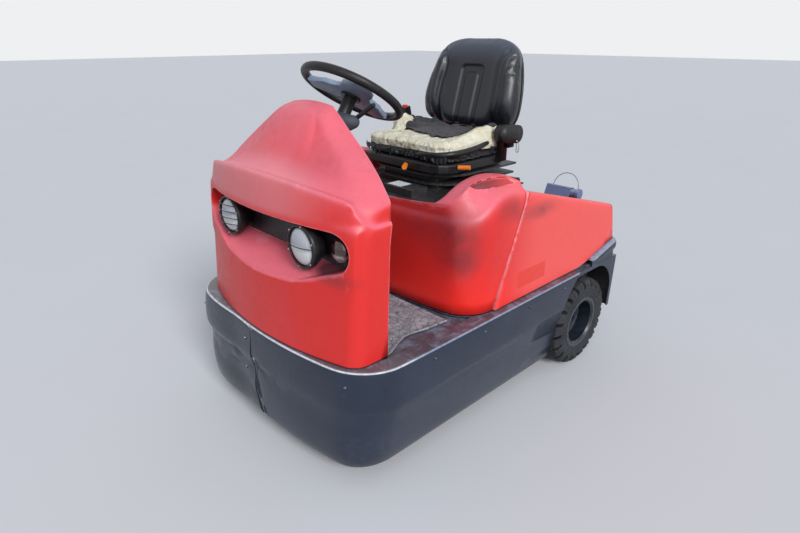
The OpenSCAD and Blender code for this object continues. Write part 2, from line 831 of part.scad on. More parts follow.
module headlamp_lenses() {
    color([0.85, 0.88, 0.9]) from_nose()
        for (side = [-1, 1])
            translate([side * lamp_pitch / 2, lamp_panel_y - 50, lamp_z])
                rotate([90, 0, 0])
                    rotate_extrude($fn = 64)
                        polygon([[0, 14], [0, 20], [lens_d * 0.25, 18.5], [lens_d * 0.42, 13],
                            [lens_d / 2, 5], [lens_d / 2, 0.2], [lens_d / 2 - 4, 0.2], [lens_d * 0.4, 8],
                            [lens_d * 0.25, 13]]);
}

guard_d = 3;

// Bowed wires in front of the lamps: five on the right one, one left on the other
module lamp_guards() {
    color(black) from_nose()
        for (g = [[-1, -44], [-1, -22], [-1, 0], [-1, 22], [-1, 44], [1, 8]])
            let (half = sqrt(pow(lens_d / 2 + 5, 2) - pow(g[1], 2)))
            let (rise = 18 * half / (lens_d / 2))
            let (r = (half * half + rise * rise) / (2 * rise), a = asin(half / r))
            translate([g[0] * lamp_pitch / 2, lamp_panel_y - 71.45 - guard_d / 2 + r - rise, lamp_z + g[1]])
                rotate([0, 0, -90 - a])
                    rotate_extrude(angle = 2 * a, $fn = 64)
                        translate([r, 0])
                            circle(d = guard_d, $fn = 16);
}

module indicators() {
    color([0.75, 0.35, 0.15]) from_nose()
        for (side = [-1, 1])
            translate([side * 336, lamp_panel_y + 2, lamp_z + 3])
                rotate([90, 0, 0])
                    rotate_extrude($fn = 48)
                        polygon([[0, 0], [40, 0], [40, 8], [36, 16], [24, 24], [10, 28], [0, 28.5]]);
}

// Console over the steering head, inside the cowl

pod_z = 1110;

module inner_console() {
    color(black) from_nose() difference() {
        hull() {
            translate([-console_w / 2, console_y, sill_z - 8])
                cube([console_w, console_l, 20]);
            translate([-console_w / 2 + 30, console_y + 90, 900])
                cube([console_w - 60, 150, 20]);
            translate([-70, 245, pod_z - 10])
                cube([140, 100, 10]);
        }
        hull() {
            translate([-console_w / 2 + 8, console_y + 8, sill_z - 20])
                cube([console_w - 16, console_l - 16, 20]);
            translate([-console_w / 2 + 38, console_y + 98, 890])
                cube([console_w - 76, 134, 20]);
            translate([-60, 253, pod_z - 25])
                cube([120, 84, 10]);
        }
    }
}

module dash_pod() {
    color(black) from_nose() difference() {
        hull() {
            for (side = [-1, 1]) {
                translate([side * 84, 328, 1164])
                    sphere(r = 18, $fn = 20);
                translate([side * 88, 402, 1150])
                    sphere(r = 22, $fn = 20);
                translate([side * 58, 380, pod_z + 20])
                    sphere(r = 20, $fn = 20);
            }
            translate([0, 330, 1178])
                sphere(r = 18, $fn = 20);
            translate([-66, 309, pod_z])
                cube([132, 36, 2]);
        }
        on_column(-column_l)
            cylinder(h = 300, d = column_d + 0.6);
    }
}

module direction_lever() {
    color(black) from_nose() hull() {
        translate([92, 408, 1160])
            sphere(r = 8, $fn = 16);
        translate([150, 440, 1207])
            sphere(r = 7, $fn = 16);
    }
}

// Steering column and wheel, both square to the wheel's plane

module on_column(z) {
    translate([0, hub_y, hub_z])
        rotate([-wheel_tilt, 0, 0])
            translate([0, 0, z])
                children();
}

column_d = 46;
column_l = 132;
shaft_d = 24;
shaft_l = 60;

module steering_column() {
    color(black) from_nose() on_column(-column_l) difference() {
        cylinder(h = column_l - 22, d = column_d);
        translate([0, 0, column_l - 22 - shaft_l - 2])
            cylinder(h = shaft_l + 4, d = shaft_d + 2 * run_fit);
    }
}

module steering_wheel() {
    color(black) from_nose() on_column(0) union() {
        rotate_extrude($fn = 96)
            translate([wheel_r, 0])
                circle(d = grip_d, $fn = 24);
        translate([0, 0, -21.5])
            cylinder(h = 30, d = 74);
        translate([0, 0, -21.5 - shaft_l])
            cylinder(h = shaft_l + 1, d = shaft_d);
        for (a = [90, 210, 330])
            rotate(a)
                translate([20, -24, -10])
                    cube([wheel_r - 26, 48, 10]);
    }
}

// Pedals: each a plate on a foot that stands on the mat

module pedals() {
    color(black) from_nose()
        for (x = [-cowl_half + 156, -cowl_half + 251])
            translate([x - 35, 250, floor_z + floor_t + mat_t])
                rotate([90, 0, 90])
                    linear_extrude(70)
                        polygon([[0, 0], [34, 0], [34, 12], [22, 16], [96, 92], [90, 98],
                            [6, 14]]);
}

// Seat hood

seam_low_y = 706;
seam_top_y = 890;
seam_top_z = 896;
seam_gap = 6;
// Height of the crease along the upper edge, by distance from the nose
crease = [[500, 828], [600, 832], [667, 858], [696, 880], [742, 901], [800, 908],
    [890, 896], [1560, 715], [1800, 650]];
// Height of the inner shoulder beside the seat
shoulder = [[500, 848], [550, 852], [565, 864], [600, 896], [640, 921], [680, 939], [740, 952],
    [800, 957], [860, 948], [900, 938]];
// Grip recess in the shoulder: floor, height of its inner edge, place of that edge
grip_floor = [[500, 842], [560, 856], [600, 886], [630, 912], [655, 926], [700, 928], [800, 930],
    [890, 920]];
grip_edge = [[500, 844], [560, 858], [600, 890], [630, 920], [660, 942], [700, 951], [740, 955],
    [800, 957], [850, 948], [890, 926]];
grip_x = [[500, 415], [600, 402], [660, 400], [700, 404], [820, 422], [890, 440]];

function seam_y(z) = seam_low_y
    + (z - sill_z) * (seam_top_y - seam_low_y) / (seam_top_z - sill_z);

// Columns: inset from the foot's outline, drop below what the height follows
// (0 crease, 1 shoulder, 2 plate, 3 recess floor, 4 recess edge), inset at the front
hood_rows = [[5, 60, 0, 3], [10, 24, 0, 6], [16, 8, 0, 10], [24, -2, 0, 14], [36, -11, 0, 17],
    [70, 0, 3, 19], [76, 0, 4, 20], [112, 0, 1, 21], [146, 2, 1, 22], [168, 8, 1, 23],
    [178, 36, 1, 24], [184, 0, 2, 26], [201, 0, 2, 50]];

function hood_height(y, row) =
    row[2] == 0 ? lookup(y, crease) - row[1]
    : row[2] == 1 ? max(seat_plate_z, lookup(y, shoulder) - row[1])
    : row[2] == 2 ? seat_plate_z
    : row[2] == 3 ? lookup(y, grip_floor)
    : lookup(y, grip_edge);

function hood_ring(inset, front, rear, z, t) =
    [for (p = plan(hood_half - inset, front, rear, 2796, 130 - inset * 0.5, 8, 5, 8))
        [p[0] - p[2] * t, p[1] - p[3] * t, z]];

function hood_grid(t) = concat(
    [hood_ring(0, hood_y, seam_y(sill_z), sill_z, t),
        hood_ring(2, hood_y + 1, seam_y(680), 680, t)],
    [for (row = hood_rows)
        let (w = hood_half - row[0])
        let (rear = seam_top_y + (row[2] == 0 ? -row[1] * 0.4 : 6))
        [for (p = plan(w, hood_y + row[3], rear, 2796, max(40, 130 - row[0] * 0.5), 8, 5, 8))
            let (flat_share = min(1, row[0] / 60))
            let (x = row[2] < 3 ? p[0] : p[0] + p[2] * (lookup(p[1], grip_x) + (3 - row[2]) * 6 - w) * p[2] * p[2])
            [x - p[2] * t * (1 - flat_share), p[1] - p[3] * t * (1 - flat_share),
                hood_height(p[1], row) - t * flat_share]]]
);

module seat_hood() {
    color(red) from_nose()
        thick_sheet(hood_grid(0), hood_grid(cover_t));
}

plate_y = hood_y + 38;
plate_cut = 44;

module seat_plate() {
    color(black) from_nose() union() {
        translate([0, 0, seat_plate_z])
            linear_extrude(plate_t)
                polygon([[-plate_half, hinge_y - 20], [-plate_half, plate_y + plate_cut],
                    [-plate_half + plate_cut, plate_y], [plate_half - plate_cut, plate_y],
                    [plate_half, plate_y + plate_cut], [plate_half, hinge_y - 20]]);
        // Switch box in front of the seat
        translate([0, plate_y + 38, seat_plate_z + plate_t - 1])
            cube([150, 85, 30]);
        for (side = [-1, 1]) {
            translate([side * 200 - 47, hinge_y - 40, seat_plate_z])
                cube([94, 40, plate_t]);
            translate([side * 200, hinge_y, hinge_z]) rotate([0, 90, 0]) {
                cylinder(h = 94, d = 22, center = true);
                cylinder(h = 124, d = hinge_pin_d, center = true);
            }
        }
    }
}

// Rear cover: sides, sloping deck and back

cover_half = 497;
deck_drop = 26;
deck_crown = 2;
rim_w = 40;
cover_rear_y = body_l - 25;
cover_lip_y = body_l - 55;
cover_end_z = 536;

cover_rise_y = skirt_rear_y + 10;

function cover_low(y) = y < cover_rise_y ? sill_z
    : sill_z + (y - cover_rise_y) * (cover_end_z - sill_z) / (cover_rear_y - cover_rise_y);

// Section across the cover at a share s from the seam to the back
function cover_section(s, t) =
    let (yb = seam_y(sill_z) + seam_gap, yt = seam_top_y + seam_gap)
    let (y_low = yb + (cover_rear_y - yb) * s, y_top = yt + (cover_lip_y - yt) * s)
    let (zl = cover_low(y_low), zt = lookup(y_top, crease))
    let (half = [
        [cover_half - t, y_low, zl],
        [cover_half - 3 - t, y_low + (y_top - y_low) * 0.4, zl + (zt - zl) * 0.4],
        [cover_half - 8 - t, y_low + (y_top - y_low) * 0.9, zl + (zt - zl) * 0.9 - t * 0.3],
        [cover_half - 12 - t, y_top, zt - 6 - t * 0.5],
        [cover_half - 18 - t * 0.5, y_top, zt - t],
        [cover_half - 18 - rim_w + t * 0.3, y_top, zt - t],
        [cover_half - 18 - rim_w - 8, y_top, zt - deck_drop - t]
    ])
    concat(
        [for (p = half) [-p[0], p[1], p[2]]],
        [for (x = [-210, 0, 210]) [x, y_top, zt - deck_drop + deck_crown - t]],
        [for (i = [len(half) - 1:-1:0]) half[i]]
    );

function cover_grid(t) = [for (i = [0:10]) cover_section(i / 10, t)];

back_half = cover_half - 10;

module rear_cover() {
    top_z = lookup(cover_lip_y, crease);
    color(red) from_nose() difference() {
        union() {
            thick_sheet(cover_grid(0), cover_grid(cover_t));
            hull() {
                translate([-back_half, cover_rear_y - cover_t, cover_end_z])
                    cube([2 * back_half, cover_t, 1]);
                translate([-back_half + 8, cover_lip_y - cover_t, top_z - deck_drop - cover_t])
                    cube([2 * back_half - 16, cover_t, 1]);
            }
        }
        translate([-plate_half - 8, hood_y, seat_plate_z - 120])
            cube([2 * plate_half + 16, hinge_y + 26 - hood_y, 300]);
    }
}

// Rear work lamp on its folded bracket

lamp_y = 1386;
deck_slope = atan((lookup(1400, crease) - lookup(1500, crease)) / 100);

module on_deck() {
    from_nose() translate([0, lamp_y, lookup(lamp_y, crease) - deck_drop])
        rotate([-deck_slope, 0, 0]) children();
}

module rear_lamp() {
    color(slate) on_deck() union() {
        // Folded bracket, open at its ends
        translate([236, 0, 0])
            rotate([90, 0, 90])
                linear_extrude(122)
                    difference() {
                        polygon([[-6, 1.9], [66, 1.9], [66, 4.9], [56, 4.9], [44, 60], [40, 64],
                            [16, 64], [12, 60], [4, 4.9], [-6, 4.9]]);
                        polygon([[8, 1], [52, 1], [42, 57], [38, 61], [18, 61], [14, 57]]);
                    }
        translate([350, 30, 40])
            rotate([0, 90, 0])
                cylinder(h = 46, d = 40);
        translate([386, 30, 40])
            rotate([0, 90, 0])
                cylinder(h = 12, d = 48);
        translate([321, 30, 62])
            rotate([90, 0, 0])
                rotate_extrude(angle = 180, $fn = 48)
                    translate([62, 0])
                        circle(d = 3.6, $fn = 12);
        translate([383, 30, 50])
            cylinder(h = 13, d = 3.6, $fn = 12);
    }
}

// Seat

module at_seat(z) {
    from_nose() translate([seat_x, seat_y + seat_d / 2, z]) children();
}

pan_z = cushion_z - cushion_t - 40;
wing_y = seat_y + 4;
wing_l = seat_d + 60;

// Plate with round front corners, its front edge at the origin
module wing(w, l, r, t) {
    linear_extrude(t)
        polygon(concat(
            [for (i = [0:6]) [-w / 2 + r - r * cos(i * 15), r - r * sin(i * 15)]],
            [for (i = [6:-1:0]) [w / 2 - r + r * cos(i * 15), r - r * sin(i * 15)]],
            [[w / 2, l], [-w / 2, l]]
        ));
}

module seat_suspension() {
    low_z = seat_plate_z + plate_t;
    color(black) from_nose() translate([seat_x, 0, 0]) union() {
        translate([-165, seat_y + 40, low_z])
            cube([330, 330, 21]);
        translate([0, wing_y + 10, low_z + 20])
            wing(seat_w - 6, wing_l - 20, 150, 8);
        translate([-150, seat_y + 50, low_z + 27])
            cube([300, 300, pan_z - 14 - low_z - 26]);
        translate([0, wing_y, pan_z - 15])
            wing(seat_w, wing_l, 150, 8);
        translate([-190, seat_y + 60, pan_z - 8])
            cube([380, 300, 8]);
    }
}

module seat_pan() {
    color(black) at_seat(pan_z)
        pad(seat_w - 4, seat_d + 20, 39.7, 70, 8);
}

// Cushion: crowned, its side bolsters rising to the rear
// Height of a bolster over the cushion's middle, by share from front to rear
bolster = [[0, 0], [0.25, 8], [0.45, 30], [0.62, 50], [0.9, 52], [1, 34]];
// Share of it across the cushion
bolster_x = [[0, 0], [0.5, 0.02], [0.66, 0.3], [0.8, 0.95], [0.92, 1], [1, 0.35]];

function cushion_top(x, y) =
    let (u = min(1, abs(x) / (seat_w / 2)), v = min(1, max(0, y / seat_d + 0.5)))
    let (edge = pow(max(u * 0.9, abs(2 * v - 1) * 0.9), 6) * 16)
    cushion_t - edge + lookup(u, bolster_x) * lookup(v, bolster);

module seat_cushion() {
    steps = [for (i = [0:12]) -1 + i / 6];
    top = [for (v = [0:10]) [for (u = steps)
        let (y = (v / 10 - 0.5) * seat_d, half = cushion_half(y))
        let (x = u * half)
        [x, y, cushion_top(x / half * seat_w / 2, y)]]];
    bottom = [for (v = [0:10]) [for (u = steps)
        let (y = (v / 10 - 0.5) * seat_d * 0.99)
        [u * (cushion_half(y) - 4), y, 0]]];
    color([0.75, 0.72, 0.6]) at_seat(cushion_z - cushion_t)
        thick_sheet(top, bottom);
}

// Half width of the cushion by the distance from its middle
function cushion_half(y) =
    let (v = abs(y) / (seat_d / 2))
    seat_w / 2 - 70 * (1 - sqrt(1 - pow(max(0, (v - 0.6) / 0.4), 2) * 0.99));

pan_rear_y = seat_y + seat_d + 10;
back_y = seat_y + seat_d - 30;
back_pad_t = 80;

module on_back() {
    from_nose() translate([seat_x, back_y, cushion_z + 12]) rotate([-back_lean, 0, 0]) children();
}

// Left half of the backrest's outline: half width and height, as shares
back_outline = [[0.4, 0], [0.75, 0.01], [0.93, 0.07], [0.99, 0.15], [1, 0.27], [0.98, 0.4],
    [0.94, 0.55], [0.87, 0.7], [0.79, 0.83], [0.68, 0.92], [0.5, 0.975], [0.25, 1]];
// Front of the pad across: share of the half width, depth from its widest plane
back_front = [[0, 8], [0.34, 8], [0.48, 5], [0.58, -8], [0.7, -24], [0.84, -24], [0.94, -8], [1, 20]];
// How much of the bolsters is left, by height
back_bolster = [[0, -0.7], [0.1, -0.6], [0.17, 0.5], [0.24, 1], [0.55, 1], [0.72, 0.75], [0.85, 0.3], [1, 0]];
// Rounding of the pad's lower and upper edge, by height
back_round = [[0, 24], [0.03, 8], [0.1, 0], [0.86, 0], [0.95, 7], [1, 24]];

function back_ring(w, h, inset, y) = concat(
    [for (p = back_outline)
        [-p[0] * (w - inset), y, h / 2 + (p[1] - 0.5) * (h - 2 * inset)]],
    [for (i = [len(back_outline) - 1:-1:0]) let (p = back_outline[i])
        [p[0] * (w - inset), y, h / 2 + (p[1] - 0.5) * (h - 2 * inset)]]
);

module seat_back_pad() {
    across = [for (i = [len(back_front) - 1:-1:1]) [-back_front[i][0], back_front[i][1]]];
    columns = concat(across, back_front);
    front = [for (p = back_outline) [for (c = columns)
        [c[0] * p[0] * back_w / 2, (c[1] > 8 ? c[1] : 8 + (c[1] - 8) * lookup(p[1], back_bolster))
            + lookup(p[1], back_round), p[1] * back_h]]];
    rear = [for (p = back_outline) [for (c = columns)
        [c[0] * p[0] * (back_w / 2 - 6), back_pad_t - (abs(c[0]) == 1 ? 16 : 0), 6 + p[1] * (back_h - 12)]]];
    color(black) on_back()
        thick_sheet(front, rear);
}

module seat_back_shell() {
    color(black) union() {
        on_back() loft([for (row = [[0.3, 14], [4, 8], [10, 8], [16, 20]])
            back_ring(back_w / 2, back_h, row[1], back_pad_t + row[0])]);
        from_nose()
            for (side = [-1, 1])
                translate([seat_x + side * 130 - 20, 0, 0])
                    rotate([90, 0, 90])
                        linear_extrude(40)
                            polygon([[pan_rear_y + 0.3, pan_z + 4], [pan_rear_y + 0.3, pan_z + 32],
                                [pan_rear_y + 22, pan_z + 53], [back_y + 98, cushion_z + 10],
                                [back_y + 124, cushion_z + 101], [back_y + 134, cushion_z + 98],
                                [back_y + 108, cushion_z], [pan_rear_y + 32, pan_z + 30],
                                [pan_rear_y + 17, pan_z + 4]]);
    }
}

module seat_levers() {
    color([1, 0.55, 0.1]) from_nose() {
        translate([seat_x + 40, seat_y - 10.4, pan_z + 18])
            rotate([90, 0, 40])
                translate([0, 0, 8])
                    cylinder(h = 42, d = 20);
        translate([seat_x + seat_w / 2 - 2.6, seat_y + 66, pan_z + 26])
            rotate([0, 86, 24])
                translate([0, 0, 5])
                    cylinder(h = 46, d = 18);
    }
}

// Belt reel at the left rear of the seat, belt buckle at its right rear

module belt_reel() {
    x = seat_x + seat_w / 2 + 3;
    color(black) from_nose() union() {
        translate([x, seat_y + 300, pan_z + 14])
            cube([8, 60, 96]);
        translate([x - 4.7, seat_y + 300, pan_z + 12])
            cube([5, 60, 18]);
        hull() {
            translate([x + 4, seat_y + 303, pan_z + 130])
                rotate([0, 90, 0])
                    cylinder(h = 46, d = 68);
            translate([x + 4, seat_y + 368, pan_z + 124])
                rotate([0, 90, 0])
                    cylinder(h = 46, d = 72);
        }
        translate([x + 14, seat_y + 326, pan_z + 72])
            cube([22, 40, 36]);
    }
}

module belt_buckle() {
    x = seat_x - seat_w / 2 - 3;
    color(black) from_nose() union() {
        translate([x, seat_y + 286, pan_z + 10])
            rotate([90, 0, -90])
                linear_extrude(6)
                    polygon([[0, 0], [30, 0], [18, 140], [2, 140]]);
        translate([x - 16, seat_y + 272, pan_z + 128])
            rotate([14, 0, 0])
                cube([24, 34, 62]);
    }
}

skirt();
floor_plate();
floor_mat();
main_frame();
head_plate();
hinge_frame();
fender_left();
fender_right();
rear_bumper();
tow_coupling();
tow_pin();
battery();
rear_axle();
front_cowl();
lamp_panel();
headlamp_housings();
headlamp_lenses();
lamp_guards();
indicators();
inner_console();
dash_pod();
direction_lever();
steering_column();
steering_wheel();
pedals();
seat_hood();
rear_cover();
rear_lamp();
seat_plate();
seat_suspension();
seat_pan();
seat_cushion();
seat_back_shell();
seat_back_pad();
seat_levers();
belt_reel();
belt_buckle();
front_fork();
front_rim();
front_tyre();
rear_rim_left();
rear_tyre_left();
rear_rim_right();
rear_tyre_right();
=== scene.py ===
import json
import math
import bpy
import bmesh
from mathutils import Vector, Matrix, noise
from mathutils.bvhtree import BVHTree

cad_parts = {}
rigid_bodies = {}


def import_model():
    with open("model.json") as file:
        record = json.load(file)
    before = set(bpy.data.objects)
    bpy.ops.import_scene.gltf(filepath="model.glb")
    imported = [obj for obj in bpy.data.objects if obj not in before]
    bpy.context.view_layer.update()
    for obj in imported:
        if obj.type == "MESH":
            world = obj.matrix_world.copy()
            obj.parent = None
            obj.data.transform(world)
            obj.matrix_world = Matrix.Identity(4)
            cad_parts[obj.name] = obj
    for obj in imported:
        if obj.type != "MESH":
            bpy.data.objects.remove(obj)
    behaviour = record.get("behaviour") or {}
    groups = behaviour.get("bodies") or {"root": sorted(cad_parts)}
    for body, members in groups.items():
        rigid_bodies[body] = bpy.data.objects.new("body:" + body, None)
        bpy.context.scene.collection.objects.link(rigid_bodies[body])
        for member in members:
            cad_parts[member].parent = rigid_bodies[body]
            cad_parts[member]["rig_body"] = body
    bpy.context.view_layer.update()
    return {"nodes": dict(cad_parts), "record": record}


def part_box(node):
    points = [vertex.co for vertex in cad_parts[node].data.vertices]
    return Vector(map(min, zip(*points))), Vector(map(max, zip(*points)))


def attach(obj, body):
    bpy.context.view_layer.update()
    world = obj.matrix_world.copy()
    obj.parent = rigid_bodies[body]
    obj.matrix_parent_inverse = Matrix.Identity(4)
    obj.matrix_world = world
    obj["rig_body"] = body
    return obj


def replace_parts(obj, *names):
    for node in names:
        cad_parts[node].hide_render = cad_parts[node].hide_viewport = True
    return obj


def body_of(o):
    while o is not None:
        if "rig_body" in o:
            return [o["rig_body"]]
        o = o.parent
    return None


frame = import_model()
scene = bpy.context.scene
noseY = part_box("skirt")[0][1]          # the source measures lengths from here

# View and light

viewSet = {
    "place": (1.5786, -0.8035, 1.4203),    # x, distance from the nose, height
    "pitch": 67.36, "turn": 46.33, "lens": 24.98, "sensor": 36.0,
}


def setCamera():
    data = bpy.data.cameras.new("photoCamera")
    data.lens = viewSet["lens"]
    data.sensor_width = viewSet["sensor"]
    cam = bpy.data.objects.new("photoCamera", data)
    x, y, z = viewSet["place"]
    cam.location = (x, noseY + y, z)
    cam.rotation_euler = (math.radians(viewSet["pitch"]), 0, math.radians(viewSet["turn"]))
    scene.collection.objects.link(cam)
    scene.camera = cam


lightSet = {
    "sky": (0.83, 0.88, 0.97), "skyPower": 0.52, "backdrop": (0.86, 0.87, 0.89),
    "sunTurn": (58, 0, 74), "sunPower": 2.5, "sunSize": 20,
    "fillPlace": (2.6, -3.2, 2.6), "fillAim": (0, 0, 0.6), "fillPower": 30, "fillSize": 3.0,
    "floor": (0.62, 0.63, 0.66), "floorBounce": (0.24, 0.24, 0.25), "floorReach": 40,
    "seenRays": ("Is Camera Ray", "Is Glossy Ray", "Is Transmission Ray"),      # what gets the pale ground
}


def setSky():                    # soft light from all round, and a pale backdrop to look at
    world = bpy.data.worlds.new("plainSky")
    scene.world = world
    world.use_nodes = True
    nodes, links = world.node_tree.nodes, world.node_tree.links
    rays = nodes.new("ShaderNodeLightPath")
    total = rays.outputs[lightSet["seenRays"][0]]
    for name in lightSet["seenRays"][1:]:
        both = nodes.new("ShaderNodeMath")
        both.operation = "MAXIMUM"
        links.new(total, both.inputs[0])
        links.new(rays.outputs[name], both.inputs[1])
        total = both.outputs[0]
    pick = nodes.new("ShaderNodeMixShader")
    links.new(total, pick.inputs["Fac"])
    lit, seen = nodes["Background"], nodes.new("ShaderNodeBackground")
    for ground, colour, power, socket in ((lit, lightSet["sky"], lightSet["skyPower"], pick.inputs[1]),
                                          (seen, lightSet["backdrop"], 1.0, pick.inputs[2])):
        ground.inputs["Color"].default_value = (*colour, 1)
        ground.inputs["Strength"].default_value = power
        links.new(ground.outputs[0], socket)
    links.new(pick.outputs[0], nodes["World Output"].inputs["Surface"])
    scene.view_settings.view_transform = "Standard"


def setLamps():
    sun = bpy.data.lights.new("softSun", "SUN")
    sun.energy = lightSet["sunPower"]
    sun.angle = math.radians(lightSet["sunSize"])
    sunObject = bpy.data.objects.new("softSun", sun)
    sunObject.rotation_euler = [math.radians(a) for a in lightSet["sunTurn"]]
    fill = bpy.data.lights.new("sideFill", "AREA")
    fill.energy = lightSet["fillPower"]
    fill.size = lightSet["fillSize"]
    fillObject = bpy.data.objects.new("sideFill", fill)
    fillObject.location = lightSet["fillPlace"]
    aim = Vector(lightSet["fillAim"]) - Vector(lightSet["fillPlace"])
    fillObject.rotation_euler = aim.to_track_quat("-Z", "Y").to_euler()
    for lamp in (sunObject, fillObject):
        scene.collection.objects.link(lamp)


def setFloor(finish):
    reach = lightSet["floorReach"]
    mesh = bpy.data.meshes.new("floor")
    mesh.from_pydata([(-reach, -reach, 0), (reach, -reach, 0), (reach, reach, 0), (-reach, reach, 0)],
                     [], [(0, 1, 2, 3)])
    mesh.materials.append(finish)
    floor = bpy.data.objects.new("floor", mesh)
    scene.collection.objects.link(floor)


# Wires: short names for the shader nodes that the finishes are built from

class Wires:
    def __init__(self, name, roughness=0.5, metal=0.0, fixed=None):
        self.mat = bpy.data.materials.new(name)
        self.mat.use_nodes = True
        self.tree = self.mat.node_tree
        self.shader = self.tree.nodes["Principled BSDF"]
        self.where = None
        for key, value in {"Roughness": roughness, "Metallic": metal, **(fixed or {})}.items():
            self.shader.inputs[key].default_value = value

    def add(self, kind, **values):
        node = self.tree.nodes.new("ShaderNode" + kind)
        for key, value in values.items():
            setattr(node, key, value)
        return node

    def feed(self, socket, value):
        if isinstance(value, bpy.types.NodeSocket):
            self.tree.links.new(value, socket)
        elif isinstance(value, (tuple, list)):
            socket.default_value = (*value, 1) if len(socket.default_value) == 4 else value
        else:
            socket.default_value = value

    def place(self):
        if self.where is None:
            self.where = self.add("TexCoord").outputs["Object"]
        return self.where

    def shown(self):                 # 1 for what the camera, gloss and glass see, 0 for thrown light
        rays = self.add("LightPath")
        total = 0.0
        for name in lightSet["seenRays"]:
            total = self.calc("ADD", total, rays.outputs[name])
        return self.calc("MINIMUM", total, 1.0)

    def scaled(self, factors):
        node = self.add("Mapping")
        self.feed(node.inputs["Vector"], self.place())
        node.inputs["Scale"].default_value = factors
        return node.outputs[0]

    def noise(self, scale, detail=4.0, rough=0.55, warp=0.0, at=None):
        node = self.add("TexNoise")
        self.feed(node.inputs["Vector"], at or self.place())
        for key, value in (("Scale", scale), ("Detail", detail), ("Roughness", rough),
                           ("Distortion", warp)):
            node.inputs[key].default_value = value
        return node.outputs["Fac"]

    def cells(self, scale, feature="F1", at=None):
        node = self.add("TexVoronoi", feature=feature)
        self.feed(node.inputs["Vector"], at or self.place())
        node.inputs["Scale"].default_value = scale
        return node.outputs["Distance"]

    def wave(self, scale, warp=0.0, **kinds):
        node = self.add("TexWave", **kinds)
        self.feed(node.inputs["Vector"], self.place())
        node.inputs["Scale"].default_value = scale
        node.inputs["Distortion"].default_value = warp
        return node.outputs["Fac"]

    def calc(self, kind, a, b=0.0):
        node = self.add("Math", operation=kind)
        self.feed(node.inputs[0], a)
        self.feed(node.inputs[1], b)
        return node.outputs[0]

    def times(self, total, *factors):
        for factor in factors:
            total = self.calc("MULTIPLY", total, factor)
        return total

    def span(self, value, low, high, a=0.0, b=1.0):
        node = self.add("MapRange", interpolation_type="SMOOTHSTEP")
        for key, item in (("Value", value), ("From Min", low), ("From Max", high),
                          ("To Min", a), ("To Max", b)):
            self.feed(node.inputs[key], item)
        return node.outputs[0]

    def along(self, low, high, a=0.0, b=1.0):        # a span by distance from the nose
        return self.span(self.parts()[1], noseY + low, noseY + high, a, b)

    def mix(self, share, a, b):
        node = self.add("Mix", data_type="RGBA", blend_type="MIX")
        self.feed(node.inputs[0], share)
        self.feed(node.inputs[6], a)
        self.feed(node.inputs[7], b)
        return node.outputs[2]

    def coats(self, colour, *layers):                # each layer: how much of it shows, and its colour
        for share, layer in layers:
            colour = self.mix(share, colour, layer)
        return colour

    def parts(self, vector=None):
        node = self.add("SeparateXYZ")
        self.feed(node.inputs[0], vector or self.place())
        return node.outputs

    def upness(self):
        return self.parts(self.add("NewGeometry").outputs["Normal"])[2]

    def edge(self, radius, low=0.02, high=0.3):     # 1 where a sharp edge is near
        soft = self.add("Bevel", samples=6)
        soft.inputs["Radius"].default_value = radius
        dot = self.add("VectorMath", operation="DOT_PRODUCT")
        self.feed(dot.inputs[0], soft.outputs[0])
        self.feed(dot.inputs[1], self.add("NewGeometry").outputs["Normal"])
        return self.span(self.calc("SUBTRACT", 1.0, dot.outputs["Value"]), low, high)

    def near(self, point, size):                     # grows from 0 at the rim of an egg to 1 at its middle
        node = self.add("VectorMath", operation="SUBTRACT")
        self.feed(node.inputs[0], self.place())
        node.inputs[1].default_value = (point[0], noseY + point[1], point[2])
        wide = self.add("VectorMath", operation="DIVIDE")
        self.feed(wide.inputs[0], node.outputs[0])
        wide.inputs[1].default_value = size
        far = self.add("VectorMath", operation="LENGTH")
        self.feed(far.inputs[0], wide.outputs[0])
        return self.span(far.outputs["Value"], 1.0, 0.0)

    def bump(self, height, depth, strength=1.0):
        node = self.add("Bump")
        node.inputs["Strength"].default_value = strength
        node.inputs["Distance"].default_value = depth
        self.feed(node.inputs["Height"], height)
        return node.outputs[0]

    def done(self, colour, roughness=None, normal=None):
        for key, value in (("Base Color", colour), ("Roughness", roughness), ("Normal", normal)):
            if value is not None:
                self.feed(self.shader.inputs[key], value)
        return self.mat

    def grained(self, colour, grain, low, high, depth, strength=0.4):    # gloss and relief from one grain
        return self.done(colour, self.span(grain, 0.2, 0.8, low, high), self.bump(grain, depth, strength))


# Finishes

